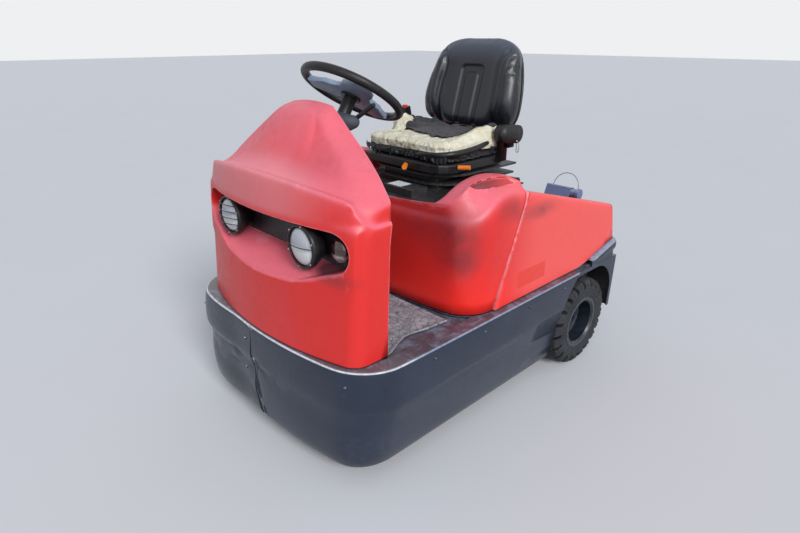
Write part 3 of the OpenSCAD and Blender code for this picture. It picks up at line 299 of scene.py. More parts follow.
redSet = {
    "deep": (0.52, 0.010, 0.010), "body": (0.68, 0.022, 0.019), "coral": (0.86, 0.105, 0.095),
    "low": (0.88, 0.020, 0.011), "faded": (0.74, 0.13, 0.175), "chalkAndHighlight": (0.78, 0.36, 0.41),
    "sootAndShade": (0.085, 0.022, 0.03), "shade": (0.12, 0.006, 0.012), "foot": (0.012, 0.006, 0.008),
    "ghost": (0.74, 0.035, 0.018),
    # where each begins and is whole: heights, and distances from the nose
    "lowZ": (0.70, 0.50), "lowY": (0.50, 0.55), "coralY": (0.70, 1.0), "footZ": (0.4835, 0.4805),
    "browX": (0.40, 0.10), "browY": (0.16, 0.10), "browZ": (0.895, 0.93), "hollowY": (0.89, 0.70),
    "roughness": (0.34, 0.52),
    # dark smudges: dirt, and painted shade in those at the dome's right side, the bottom of the lamp recess
    # and the hood's front corner. Each: place from the nose in metres, reach each way, strength
    "smudgesAndShade": [
        ((0.40, 0.58, 0.77), (0.15, 0.15, 0.20), 0.85), ((0.27, 0.565, 0.80), (0.20, 0.08, 0.12), 0.7),
        ((0.44, 0.60, 0.70), (0.08, 0.09, 0.10), 0.5), ((0.49, 0.97, 0.812), (0.05, 0.21, 0.05), 0.6),
        ((0.482, 0.80, 0.85), (0.05, 0.11, 0.07), 0.55), ((-0.05, 0.26, 1.12), (0.17, 0.10, 0.09), 0.35),
        ((0.20, 0.22, 1.03), (0.22, 0.20, 0.14), 0.34), ((-0.45, 0.59, 0.78), (0.12, 0.14, 0.16), 0.7),
        ((0.31, 0.125, 0.757), (0.16, 0.08, 0.05), 2.0), ((0.05, 0.15, 0.755), (0.34, 0.04, 0.05), 1.0),
        ((-0.5, 1.2, 0.70), (0.03, 0.20, 0.10), 0.4), ((0.1, 1.61, 0.66), (0.3, 0.03, 0.09), 0.4)],
}
# Where a sticker has been: less faded than the paint round it
stickerGhost = {"y": (0.846, 1.034), "z": (0.524, 0.592), "side": (0.47, 0.48),
                "soft": 0.002, "strength": 0.75}


def ghostShare(w, x, y, z):
    share, soft = w.span(x, *stickerGhost["side"]), stickerGhost["soft"]
    for axis, key, shift in ((y, "y", noseY), (z, "z", 0.0)):
        low, high = (edge + shift for edge in stickerGhost[key])
        share = w.times(share, w.times(w.span(axis, low, low + soft), w.span(axis, high, high - soft)))
    return w.times(share, stickerGhost["strength"])


def redMoulding(name="redMoulding", shade=0.0):      # shade darkens the depth of the hand scoops
    w = Wires(name, 0.42)
    x, y, z = w.parts()[:3]
    up = w.upness()
    fine, speck = w.noise(38, 6, 0.65), w.noise(300, 2, 0.5)
    drift = w.times(w.calc("SUBTRACT", w.noise(2.6, 5, 0.6, 0.4), 0.5), 0.7)
    fade = w.span(w.calc("ADD", up, drift), 0.06, 0.75)
    # low: a brighter orange red low down on the hood and cover, painted light reflected from below
    low = w.times(w.span(z, *redSet["lowZ"]), w.along(*redSet["lowY"]), 0.8)
    chalkAndHighlight = w.times(w.span(w.noise(9, 6, 0.7, 0.8), 0.56, 0.78), w.span(up, 0.15, 0.8, 0.03, 0.5))
    # brow: a paler pink band along the front ridge, chalking and a painted highlight
    brow = w.times(w.span(z, *redSet["browZ"]), w.along(*redSet["browY"]),
                   w.span(x, *redSet["browX"], 0.0, 0.4))
    rub = w.times(w.edge(0.010), w.span(fine, 0.3, 0.6), 0.6)
    colour = w.coats(redSet["body"], (fade, redSet["faded"]),
                     (w.span(fine, 0.5, 0.85, 0.0, 0.3), redSet["deep"]),
                     (low, redSet["low"]), (w.along(*redSet["coralY"], 0.0, 0.8), redSet["coral"]),
                     (chalkAndHighlight, redSet["chalkAndHighlight"]), (brow, redSet["chalkAndHighlight"]), (rub, redSet["chalkAndHighlight"]))
    ragged = w.span(w.noise(5, 5, 0.65, 0.6), 0.2, 0.7, 0.35, 1.0)
    # dark smudges: dirt, and painted shade at some of the places listed
    for place, reach, strength in redSet["smudgesAndShade"]:
        dark = w.times(w.near(place, reach), w.times(ragged, strength))
        colour = w.mix(dark, colour, redSet["sootAndShade"])
    # the last coat is a painted shadow: near black along the foot of each moulding, where it stands on the
    # sill
    colour = w.coats(colour, (ghostShare(w, x, y, z), redSet["ghost"]),
                     (w.span(z, *redSet["footZ"], 0.0, 0.95), redSet["foot"]))
    if shade:
        colour = w.mix(w.along(*redSet["hollowY"], 0.2, shade), colour, redSet["shade"])
    rough = w.span(w.calc("ADD", fine, w.times(fade, 0.3)), 0.3, 1.0, *redSet["roughness"])
    height = w.calc("ADD", w.times(speck, 0.25), w.times(fine, 0.6))
    return w.done(colour, rough, w.bump(height, 0.0003, 0.35))


# The sky-blue and the whitish colours here paint a highlight: sky reflected on the roundings that face up,
# whiter towards the nose, and in patches on flat tops
slateSet = {
    "paint": (0.009, 0.016, 0.034), "light": (0.021, 0.031, 0.058), "sky": (0.25, 0.31, 0.42),
    "bare": (0.34, 0.34, 0.37), "dust": (0.11, 0.11, 0.12), "scrape": (0.005, 0.007, 0.012),
    "worn": (0.062, 0.048, 0.062), "chalkAndHighlight": (0.62, 0.66, 0.72),
    "noseY": (0.34, 0.22), "dustZ": (0.30, 0.08), "bareZ": (0.42, 0.46), "roughness": (0.27, 0.48),
    "fixed": {"Specular IOR Level": 0.38, "Coat Weight": 0.22, "Coat Roughness": 0.14},
}


def slatePaint(name="slatePaint", shift=1.0):        # shift above 1 makes the paint lighter: painted light, for the sunlit bracket
    w = Wires(name, 0.36, fixed=slateSet["fixed"])
    up, height = w.upness(), w.parts()[2]
    wide, fine = w.noise(2.2, 5, 0.6, 0.5), w.noise(46, 6, 0.7)
    streak = w.noise(4, 6, 0.75, 0.3, at=w.scaled((1.0, 1.0, 7.0)))
    scuff = w.noise(17, 7, 0.8, 1.2, at=w.scaled((1, 1, 3)))
    paint, light = (tuple(c * shift for c in slateSet[key]) for key in ("paint", "light"))
    bare = w.times(w.edge(0.005), w.span(fine, 0.42, 0.62), w.span(height, *slateSet["bareZ"], 0.1, 0.6))
    # bright: a painted highlight on the roundings that face up, sky blue going whiter towards the nose
    bright = w.mix(w.along(*slateSet["noseY"]), slateSet["sky"], slateSet["chalkAndHighlight"])
    flat = w.span(up, 0.95, 0.995)
    colour = w.coats(
        paint, (w.span(wide, 0.3, 0.75), light),
        (w.span(streak, 0.56, 0.75, 0.0, 0.5), slateSet["scrape"]),
        (w.times(w.span(scuff, 0.60, 0.72), 0.5), slateSet["dust"]),
        (w.times(w.span(height, *slateSet["dustZ"], 0.0, 0.45), w.span(fine, 0.4, 0.85)), slateSet["dust"]),
        (bare, slateSet["bare"]),
        (w.times(w.span(up, 0.30, 0.7), w.span(fine, 0.3, 0.6, 0.6, 1.0)), bright),
        (w.times(flat, 0.92), slateSet["worn"]),
        # painted sky reflection in patches on the flat tops
        (w.times(flat, w.span(w.noise(15, 6, 0.7, 1.0), 0.45, 0.66, 0.0, 0.5)), slateSet["sky"]))
    relief = w.calc("ADD", fine, w.times(wide, 3.0))
    return w.done(colour, w.span(fine, 0.2, 0.9, *slateSet["roughness"]), w.bump(relief, 0.0007, 0.4))


rimSet = {
    "dark": (0.006, 0.010, 0.018), "light": (0.018, 0.024, 0.036), "bare": (0.27, 0.28, 0.31),
    "rust": (0.10, 0.055, 0.03),
    "fixed": {"Specular IOR Level": 0.4, "Coat Weight": 0.3, "Coat Roughness": 0.2},
}


def rimPaint():
    w = Wires("rimPaint", 0.4, fixed=rimSet["fixed"])
    fine = w.noise(52, 6, 0.7)
    colour = w.coats(rimSet["dark"], (w.span(fine, 0.35, 0.75), rimSet["light"]),
                     (w.times(w.edge(0.005), w.span(fine, 0.3, 0.6, 0.2, 1.0)), rimSet["bare"]),
                     (w.span(w.noise(120, 4, 0.7), 0.62, 0.74, 0.0, 0.6), rimSet["rust"]))
    return w.grained(colour, fine, 0.32, 0.55, 0.0006)


steelSet = {"body": (0.018, 0.018, 0.02), "bare": (0.22, 0.2, 0.19), "roughness": (0.38, 0.65)}


def blackSteel():
    w = Wires("blackSteel", 0.5)
    fine = w.noise(60, 5, 0.65)
    colour = w.coats(steelSet["body"],
                     (w.span(fine, 0.4, 0.75, 0.0, 0.6), tuple(c * 2.4 + 0.01 for c in steelSet["body"])),
                     (w.times(w.edge(0.003), w.span(fine, 0.45, 0.6), 0.5), steelSet["bare"]))
    return w.grained(colour, fine, *steelSet["roughness"], 0.0006)


tyreRubberSet = {"dark": (0.013, 0.014, 0.018), "light": (0.030, 0.033, 0.040), "dust": (0.095, 0.096, 0.105)}


def tyreRubber():
    w = Wires("tyreRubber", 0.8)
    fine = w.noise(55, 6, 0.7)
    colour = w.coats(tyreRubberSet["dark"], (w.span(w.noise(9, 4, 0.6), 0.35, 0.7), tyreRubberSet["light"]),
                     (w.span(fine, 0.5, 0.8, 0.0, 0.7), tyreRubberSet["dust"]))
    return w.grained(colour, fine, 0.7, 0.92, 0.0015, 0.5)


matRubberSet = {"dark": (0.21, 0.205, 0.235), "light": (0.42, 0.41, 0.46), "crack": (0.07, 0.067, 0.075)}


def rubberMat():
    w = Wires("rubberMat", 0.75)
    crack = w.cells(34, "DISTANCE_TO_EDGE", at=w.scaled((1, 1, 0.2)))
    fine = w.noise(30, 7, 0.75, 0.6)
    colour = w.coats(matRubberSet["dark"], (w.span(fine, 0.35, 0.68), matRubberSet["light"]),
                     (w.span(crack, 0.06, 0.0, 0.0, 0.75), matRubberSet["crack"]))
    relief = w.calc("ADD", fine, w.span(crack, 0.0, 0.1))
    return w.done(colour, w.span(fine, 0.2, 0.8, 0.6, 0.9), w.bump(relief, 0.002, 0.5))


bareSteelSet = {"clean": (0.42, 0.41, 0.4), "rusty": (0.2, 0.16, 0.13)}


def bareSteel():
    w = Wires("bareSteel", 0.38, 1.0)
    fine = w.noise(70, 5, 0.65)
    colour = w.mix(w.span(fine, 0.4, 0.75), bareSteelSet["clean"], bareSteelSet["rusty"])
    return w.grained(colour, fine, 0.28, 0.6, 0.0005)


def softPlastic(name, colour, rough=0.55, grain=320, depth=0.0004):
    w = Wires(name, rough, fixed={"Specular IOR Level": 0.36})
    fine = w.noise(28, 6, 0.65)
    worn = tuple(min(1, c * 1.7 + 0.012) for c in colour)
    return w.done(w.mix(w.span(fine, 0.4, 0.8, 0.0, 0.5), colour, worn),
                  w.span(fine, 0.2, 0.8, rough - 0.1, rough + 0.12), w.bump(w.cells(grain), depth, 0.5))


lensSet = {
    "upper": (0.56, 0.59, 0.66), "lower": (0.86, 0.88, 0.90), "rib": (0.36, 0.39, 0.45),
    "dirt": (0.5, 0.5, 0.48), "lowerZ": (0.836, 0.812),
    "fixed": {"Transmission Weight": 0.3, "IOR": 1.48, "Coat Weight": 0.6, "Coat Roughness": 0.05},
}


def lensGlass():
    w = Wires("lampGlass", 0.16, fixed=lensSet["fixed"])
    ribs = w.wave(26, wave_type="BANDS", bands_direction="X")
    colour = w.coats(lensSet["upper"], (w.span(w.parts()[2], *lensSet["lowerZ"]), lensSet["lower"]),
                     (w.span(ribs, 0.55, 0.95, 0.0, 0.22), lensSet["rib"]),
                     (w.span(w.noise(60, 5, 0.7), 0.55, 0.75, 0.0, 0.3), lensSet["dirt"]))
    return w.done(colour, None, w.bump(ribs, 0.0006, 0.4))


indicatorSet = {
    "red": ((0.045, 0.010, 0.007), (0.016, 0.005, 0.005)), "clear": ((0.40, 0.33, 0.32), (0.14, 0.09, 0.085)),
    "clearZ": (0.822, 0.812), "fixed": {"Coat Weight": 0.9, "Coat Roughness": 0.04},
}


def indicatorLens():             # smoked red above, clear below
    w = Wires("indicatorLens", 0.14, fixed=indicatorSet["fixed"])
    ribs = w.wave(40, wave_type="RINGS", rings_direction="Y")
    fine = w.span(w.noise(60, 5, 0.6), 0.4, 0.7)
    smoked, clear = (w.mix(fine, *indicatorSet[key]) for key in ("red", "clear"))
    colour = w.mix(w.span(w.parts()[2], *indicatorSet["clearZ"]), smoked, clear)
    return w.done(colour, None, w.bump(ribs, 0.0004, 0.4))


def floorPaint():                # pale to look at, with less light thrown back up
    w = Wires("paleFloor", 0.85)
    patch = tuple(c * 0.985 for c in lightSet["floor"])
    seen = w.mix(w.span(w.noise(1.2, 3), 0.3, 0.7), lightSet["floor"], patch)
    return w.done(w.mix(w.shown(), lightSet["floorBounce"], seen))


foamSet = {"pale": (0.72, 0.69, 0.57), "yellow": (0.58, 0.54, 0.38), "dirt": (0.33, 0.27, 0.16),
           "pore": (0.30, 0.26, 0.17)}


def foamFinish():
    w = Wires("tornFoam", 0.9)
    fine, pores = w.noise(90, 6, 0.7), w.cells(420)
    colour = w.coats(foamSet["pale"], (w.span(w.noise(14, 5, 0.65, 0.5), 0.35, 0.7), foamSet["yellow"]),
                     (w.span(fine, 0.54, 0.76, 0.0, 0.7), foamSet["dirt"]),
                     (w.span(pores, 0.25, 0.05, 0.0, 0.35), foamSet["pore"]))
    height = w.calc("ADD", w.times(pores, 0.4), w.times(fine, 1.4))
    return w.done(colour, None, w.bump(height, 0.003, 0.7))


clothSet = {"dark": (0.013, 0.012, 0.019), "light": (0.031, 0.028, 0.042), "dust": (0.2, 0.18, 0.16),
            "threads": 260, "fixed": {"Sheen Weight": 0.1}}


def seatCloth():
    w = Wires("seatCloth", 0.78, fixed=clothSet["fixed"])
    weave = w.times(*(w.wave(clothSet["threads"], 0.6, wave_type="BANDS", bands_direction=way)
                      for way in "XY"))
    wide = w.noise(11, 5, 0.65)
    colour = w.coats(clothSet["dark"], (w.span(wide, 0.35, 0.72), clothSet["light"]),
                     (w.span(w.noise(70, 5, 0.7), 0.6, 0.8, 0.0, 0.5), clothSet["dust"]))
    return w.done(colour, None, w.bump(w.calc("ADD", weave, w.times(wide, 2.0)), 0.0012, 0.6))


vinylSet = {"dark": (0.005, 0.006, 0.010), "light": (0.011, 0.014, 0.021), "dust": (0.07, 0.075, 0.085),
            "top": (0.085, 0.105, 0.15), "speck": (0.75, 0.76, 0.77), "topZ": (1.30, 1.41),
            "fixed": {"Specular IOR Level": 0.5}}


def backVinyl():
    w = Wires("backVinyl", 0.3, fixed=vinylSet["fixed"])
    fine = w.noise(60, 5, 0.65)
    # the top of the pad goes paler and bluer: a painted highlight where it curves back
    colour = w.coats(vinylSet["dark"], (w.span(w.noise(7, 4, 0.6), 0.35, 0.7), vinylSet["light"]),
                     (w.span(fine, 0.62, 0.82, 0.0, 0.3), vinylSet["dust"]),
                     (w.span(w.parts()[2], *vinylSet["topZ"], 0.0, 0.7), vinylSet["top"]),
                     (w.span(w.cells(34), 0.035, 0.02), vinylSet["speck"]))
    return w.done(colour, w.span(fine, 0.25, 0.8, 0.34, 0.42), w.bump(w.cells(640), 0.0001, 0.2))


mirrorSet = {"bright": (0.86, 0.87, 0.88), "dull": (0.7, 0.72, 0.74), "roughness": (0.08, 0.22)}


def reflectorFinish():
    w = Wires("lampMirror", 0.12, 1.0)
    return w.done(w.mix(w.span(w.noise(26, 4), 0.4, 0.7), mirrorSet["bright"], mirrorSet["dull"]),
                  w.span(w.noise(60, 4), 0.3, 0.7, *mirrorSet["roughness"]))


labelSet = {"clean": (0.72, 0.75, 0.78), "worn": (0.5, 0.52, 0.54)}


def paperLabel():
    w = Wires("paleLabel", 0.5)
    fine = w.noise(80, 5, 0.7)
    return w.done(w.mix(w.span(fine, 0.45, 0.7), labelSet["clean"], labelSet["worn"]), None,
                  w.bump(fine, 0.0003, 0.5))


setCamera()
setSky()
setLamps()
setFloor(floorPaint())
print("camera, light and floor set")

red, redShade = redMoulding(), redMoulding("redShade", 0.9)
# the lamp bracket gets the slate paint six times lighter: painted light for its sunlit faces
slate, bracketLitSlate = slatePaint(), slatePaint("bracketLitSlate", 6.0)
steelBlack, brightSteel, rimDark = blackSteel(), bareSteel(), rimPaint()
rubber, matRubber = tyreRubber(), rubberMat()
vinyl = softPlastic("blackVinyl", (0.008, 0.009, 0.011), 0.34, 520, 0.0003)
plastic = softPlastic("blackPlastic", (0.008, 0.008, 0.010), 0.42)
greyPlastic = softPlastic("greyPlastic", (0.055, 0.064, 0.078), 0.45)
orange = softPlastic("orangeGrip", (0.75, 0.19, 0.02), 0.45)
spokeGrey = softPlastic("spokeGrey", (0.23, 0.29, 0.39), 0.42)
redPlastic = softPlastic("redPlastic", (0.6, 0.03, 0.025), 0.4)
lampLens, mirror, label = lensGlass(), reflectorFinish(), paperLabel()
foam, cloth, vinylBack = foamFinish(), seatCloth(), backVinyl()

nodeFinish = {}
for finish, names in (
        (red, ("front_cowl", "seat_hood", "rear_cover")),
        (slate, ("skirt", "floor_plate", "fender_left", "fender_right", "rear_bumper", "battery")),
        (bracketLitSlate, ("rear_lamp",)),
        (rimDark, ("front_rim", "rear_rim_left", "rear_rim_right")),
        (rubber, ("front_tyre", "rear_tyre_left", "rear_tyre_right")),
        (matRubber, ("floor_mat",)),
        (brightSteel, ("tow_pin",)),
        (steelBlack, ("main_frame", "head_plate", "hinge_frame", "tow_coupling", "rear_axle", "front_fork",
                      "lamp_guards", "seat_plate", "seat_suspension", "pedals")),
        (plastic, ("lamp_panel", "headlamp_housings", "direction_lever", "steering_column", "steering_wheel",
                   "seat_pan", "seat_back_shell", "belt_reel", "belt_buckle")),
        (greyPlastic, ("inner_console", "dash_pod")),
        (orange, ("seat_levers",)),
        (lampLens, ("headlamp_lenses",)),
        (indicatorLens(), ("indicators",)),
        (foam, ("seat_cushion",)),
        (vinylBack, ("seat_back_pad",))):
    nodeFinish.update(dict.fromkeys(names, finish))


def finishNodes():
    for name, node in frame["nodes"].items():
        if not node.data.materials:
            node.data.materials.append(nodeFinish[name])
        for i in range(len(node.data.materials)):
            node.data.materials[i] = nodeFinish[name]


finishNodes()
print("finishes set on", len(frame["nodes"]), "nodes")
slotOf = {row["node"]: row["material_slot"] for row in frame["record"]["subparts"]}


# Helpers for places and meshes. From here on a length of 0.2 or less is in metres, and a greater one
# in millimetres, apart from widerZ
meshSet = {"join": 0.00008, "thin": 0.0001, "same": 0.00002, "flat": 14, "square": 70, "shade": 44,
           "above": 1300}        # rays down start from here


def at(x, y, z):                 # millimetres from the nose to a place in the scene
    return Vector((x / 1000, noseY + y / 1000, z / 1000))


def local(co):                   # the other way round: millimetres from the nose
    return co.x * 1000, (co.y - noseY) * 1000, co.z * 1000


def ease(value, low, high):
    t = min(1.0, max(0.0, (value - low) / (high - low)))
    return t * t * (3 - 2 * t)


def curve(value, table):         # value looked up along a short table of pairs
    for (a, low), (b, high) in zip(table, table[1:]):
        if value <= b:
            return low + (high - low) * min(1.0, max(0.0, (value - a) / (b - a)))
    return table[-1][1]


def farFrom(x, z, x0, z0, x1, z1):           # how far a point is from a stretch of line
    long = (x1 - x0) ** 2 + (z1 - z0) ** 2
    t = min(1.0, max(0.0, ((x - x0) * (x1 - x0) + (z - z0) * (z1 - z0)) / long))
    return math.hypot(x - x0 - t * (x1 - x0), z - z0 - t * (z1 - z0))


def rounded(points, steps):      # a smooth line through the points
    line = []
    for i in range(len(points) - 1):
        p0, p1 = points[max(i - 1, 0)], points[i]
        p2, p3 = points[i + 1], points[min(i + 2, len(points) - 1)]
        for k in range(steps):
            t = k / steps
            line.append(0.5 * ((2 * p1) + (p2 - p0) * t + (2 * p0 - 5 * p1 + 4 * p2 - p3) * t * t
                               + (3 * p1 - p0 - 3 * p2 + p3) * t * t * t))
    line.append(points[-1])
    return line


def meshOf(work, name):
    mesh = bpy.data.meshes.new(name)
    work.to_mesh(mesh)
    work.free()
    return mesh


def addPiece(name, mesh, finish, body):
    mesh.materials.clear()
    mesh.materials.append(finish)
    piece = bpy.data.objects.new(name, mesh)
    scene.collection.objects.link(piece)
    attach(piece, body)
    return piece


def bakeModifiers(piece):
    depsgraph = bpy.context.evaluated_depsgraph_get()
    mesh = bpy.data.meshes.new_from_object(piece.evaluated_get(depsgraph), depsgraph=depsgraph)
    old = piece.data
    piece.modifiers.clear()
    piece.data = mesh
    bpy.data.meshes.remove(old)


def roundOff(piece, levels=1):
    rounder = piece.modifiers.new("rounder", "SUBSURF")
    rounder.levels = levels
    rounder.render_levels = levels
    bakeModifiers(piece)


def thicken(piece, amount, offset=-1):       # offset -1 grows inwards, 1 outwards
    thick = piece.modifiers.new("thick", "SOLIDIFY")
    thick.thickness = amount
    thick.offset = offset
    bakeModifiers(piece)


def smoothFaces(mesh, angle):
    for face in mesh.polygons:
        face.use_smooth = True
    mesh.set_sharp_from_angle(angle=math.radians(angle))


def toQuads(work, flat, square):
    bmesh.ops.join_triangles(work, faces=work.faces, angle_face_threshold=math.radians(flat),
                             angle_shape_threshold=math.radians(square))


def pushOut(mesh, amount):       # moves each point along its normal by amount(point)
    normals = [vertex.normal.copy() for vertex in mesh.vertices]
    for vertex, normal in zip(mesh.vertices, normals):
        vertex.co = vertex.co + normal * amount(vertex.co, normal)


def castOn(piece):               # finds where a straight line meets a piece, and its normal there
    tree = BVHTree.FromObject(piece, bpy.context.evaluated_depsgraph_get())
    return lambda start, way: tree.ray_cast(at(*start), Vector(way))[:2]


def drapedOn(piece):             # finds the height of a piece's upper side
    cast = castOn(piece)

    def height(x, y):
        spot = cast((x, y, meshSet["above"]), (0, 0, -1))[0]
        return None if spot is None else spot.z * 1000
    return height


# A CAD shell drawn again with rounded forms instead of flat facets
def smoothCopy(node, name, levels=2, sharp=40, shape=None):
    source = frame["nodes"][node]
    work = bmesh.new()
    work.from_mesh(source.data)
    bmesh.ops.remove_doubles(work, verts=work.verts, dist=meshSet["join"])
    bmesh.ops.dissolve_degenerate(work, dist=meshSet["thin"], edges=work.edges)
    if levels:
        toQuads(work, meshSet["flat"], meshSet["square"])
        creases = work.edges.layers.float.new("crease_edge")
        for edge in work.edges:
            if not edge.is_manifold or edge.calc_face_angle(0) > math.radians(sharp):
                edge[creases] = 1.0
    piece = addPiece(name, meshOf(work, name), nodeFinish[node], body_of(source)[0])
    if levels:
        roundOff(piece, levels)
    if shape is not None:
        shape(piece.data)
    smoothFaces(piece.data, meshSet["shade"])
    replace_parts(piece, node)
    return piece


# Forms gathers points and faces, so that many small things make one mesh

class Forms:
    def __init__(self):
        self.points = []
        self.faces = []

    def grid(self, rows, around=False, ends=False):
        first, wide = len(self.points), len(rows[0])
        last = first + (len(rows) - 1) * wide
        for row in rows:
            self.points.extend(row)
        for i in range(len(rows) - 1):
            for j in range(wide if around else wide - 1):
                a, b = first + i * wide + j, first + i * wide + (j + 1) % wide
                self.faces.append((a, b, b + wide, a + wide))
        if ends:
            self.faces.append(tuple(range(first, first + wide)))
            self.faces.append(tuple(range(last, last + wide)))

    def tube(self, path, radius, sides=8):
        normal, rings = None, []
        for i, point in enumerate(path):
            ahead = (path[min(i + 1, len(path) - 1)] - path[max(i - 1, 0)]).normalized()
            normal = ahead.orthogonal() if normal is None else normal - ahead * normal.dot(ahead)
            normal.normalize()
            side = ahead.cross(normal)
            r = radius(i / (len(path) - 1)) if callable(radius) else radius
            rings.append([point + (normal * math.cos(a) + side * math.sin(a)) * r
                          for a in (2 * math.pi * k / sides for k in range(sides))])
        self.grid(rings, True, True)

    def turned(self, profile, place, axis, sides):       # profile: distance out and along the axis
        axis = Vector(axis).normalized()
        u = (Vector((0, 0, 1)) if abs(axis.z) < 0.9 else Vector((1, 0, 0))).cross(axis).normalized()
        v = axis.cross(u)
        self.grid([[place + axis * h + (u * math.cos(a) + v * math.sin(a)) * r
                    for a in (2 * math.pi * k / sides for k in range(sides))]
                   for r, h in profile], True, True)

    def block(self, low, high):
        corners = [Vector((x, y, z)) for z in (low[2], high[2])
                   for x, y in ((low[0], low[1]), (high[0], low[1]), (high[0], high[1]), (low[0], high[1]))]
        self.grid([corners[:4], corners[4:]], True, True)

    def screw(self, place, axis, wide, tall, sides=6):   # a washer with a head on it
        self.turned([(wide * 0.72, 0), (wide * 0.72, tall * 0.25), (wide * 0.5, tall * 0.25)],
                    place, axis, 20)
        self.turned([(wide * 0.5, tall * 0.2), (wide * 0.5, tall * 0.85), (wide * 0.42, tall)],
                    place, axis, sides)

    def piece(self, name, finish, body, slotName, angle=38, bevel=0.0):
        work = bmesh.new()
        verts = [work.verts.new(p) for p in self.points]
        for face in self.faces:
            work.faces.new([verts[i] for i in face])
        bmesh.ops.remove_doubles(work, verts=work.verts, dist=meshSet["same"])
        bmesh.ops.recalc_face_normals(work, faces=work.faces)
        if bevel:
            edges = [e for e in work.edges if e.calc_face_angle(0) > math.radians(angle)]
            bmesh.ops.bevel(work, geom=edges, offset=bevel, segments=2, affect="EDGES", profile=0.6)
        mesh = meshOf(work, name)
        smoothFaces(mesh, angle)
        return addPiece(name, mesh, finish, body)


# Mouldings and skirt

bodySet = {
    "ripple": 0.0013, "rippleScale": 4.2, "rippleTall": 2.2,     # how uneven the steel skirt is, in metres
    "sag": 0.0006, "sagScale": 3.0,                              # and the red mouldings
    "foldTop": [(57, 423), (438, 330), (1093, 190)],             # the long fold on the sides, below the sill
    "foldDepth": 0.0035, "foldWide": 13, "sill": 455,
    "swell": 0.003, "swellBelow": 58, "swellWide": 34,
    "creased": (200, 40), "folded": (60, 220),                   # from where to where these fade in
    # creases at the nose: from x, z to x, z, depth in metres, width in millimetres
    "creases": ((-420, 296, -182, 301, 0.005, 30), (-182, 301, -28, 326, 0.004, 24),
                (-28, 326, 46, 313, 0.003, 16), (-40, 300, -50, 112, 0.003, 26),
                (-330, 236, -60, 200, 0.004, 44), (120, 300, 500, 262, 0.0035, 60)),
}


def dentSkirt(mesh):
    def amount(co, normal):
        x, y, z = local(co)
        tall = Vector((co.x, co.y, co.z * bodySet["rippleTall"]))
        push = noise.noise(tall * bodySet["rippleScale"]) * bodySet["ripple"]
        front = ease(y, *bodySet["creased"])
        for x0, z0, x1, z1, deep, wide in bodySet["creases"]:
            push -= front * deep * math.exp(-(farFrom(x, z, x0, z0, x1, z1) / wide) ** 2)
        if z < bodySet["sill"]:
            off = z - curve(y, bodySet["foldTop"])
            fade = ease(y, *bodySet["folded"])
            push -= fade * bodySet["foldDepth"] * math.exp(-(off / bodySet["foldWide"]) ** 2)
            below = (off + bodySet["swellBelow"]) / bodySet["swellWide"]
            push += fade * bodySet["swell"] * math.exp(-below ** 2)
        return push
    pushOut(mesh, amount)


def waveRed(mesh):
    pushOut(mesh, lambda co, normal: noise.noise(co * bodySet["sagScale"]) * bodySet["sag"])


# The scoop for the fingers in each shoulder: its edges by distance from the nose
gripSet = {
    "inner": [(652, 385), (694, 382), (736, 394), (812, 413), (888, 434)],
    "outer": [(652, 385), (668, 398), (684, 406), (729, 419), (798, 428), (888, 436)],
    "start": 654, "end": 886, "deep": 21, "lower": 2.6, "shares": 18, "steps": 48,
    "leastHalf": 0.6, "fullHalf": 9, "clear": 45, "liner": 0.002,
}


def gripRows(height, side, lower):           # a row of points across the scoop at each step along it
    rows = []
    for i in range(gripSet["steps"] + 1):
        turn = math.pi * i / gripSet["steps"]
        y = gripSet["start"] + (gripSet["end"] - gripSet["start"]) * (1 - math.cos(turn)) / 2
        x0, x1 = curve(y, gripSet["inner"]), curve(y, gripSet["outer"])
        middle = (x0 + x1) / 2
        half = max((x1 - x0) / 2, gripSet["leastHalf"])
        z0, z1 = (height(side * x, y) for x in (middle - half, middle + half))
        deep = gripSet["deep"] * min(1.0, 1.5 * math.sin(turn) ** 0.8) * min(1.0, half / gripSet["fullHalf"])
        row = []
        for j in range(gripSet["shares"] + 1):
            share = j / gripSet["shares"]
            bowl = max(0.0, 1 - abs(2 * share - 1) ** 2.6) ** 0.62
            z = z0 + (z1 - z0) * ease(share, 0, 1) - deep * bowl - lower
            row.append((side * (middle - half + 2 * half * share), y, z))
        rows.append(row)
    return rows


def digGrips(piece):
    height = drapedOn(piece)
    cutter, liner = Forms(), Forms()
    for side in (-1, 1):
        tall = []
        for row in gripRows(height, side, 0):
            (x0, y, z0), (x1, y, z1) = row[0], row[-1]
            top = max(z0, z1) + gripSet["clear"]
            tall.append([at(*p) for p in row] + [at(x1, y, top), at(x0, y, top)])
        rows = [[at(*p) for p in row] for row in gripRows(height, side, gripSet["lower"])]
        cutter.grid([row[::side] for row in tall], True, True)
        liner.grid([row[::side] for row in rows])
    tool = cutter.piece("gripTool", red, "seat_and_hood", "red_cover", 40)
    cut = piece.modifiers.new("cut", "BOOLEAN")
    cut.operation, cut.solver, cut.object = "DIFFERENCE", "EXACT", tool
    bakeModifiers(piece)
    bpy.data.objects.remove(tool, do_unlink=True)
    smoothFaces(piece.data, 46)
    thicken(liner.piece("gripLiner", redShade, "seat_and_hood", "red_cover", 60), gripSet["liner"])


# The lamp recess reaches a little further out: where that begins and is whole, across, in height and back
recessSet = {"inner": (330, 398), "outer": (450, 418), "low": (715, 740), "high": (930, 905),
             "rear": (190, 150), "shift": 0.014}


def widenRecess(mesh):
    waveRed(mesh)
    for vertex in mesh.vertices:
        x, y, z = local(vertex.co)
        share = ease(abs(x), *recessSet["inner"]) * ease(abs(x), *recessSet["outer"])
        share = share * ease(z, *recessSet["low"]) * ease(z, *recessSet["high"]) * ease(y, *recessSet["rear"])
        vertex.co.x += math.copysign(recessSet["shift"] * share, x)


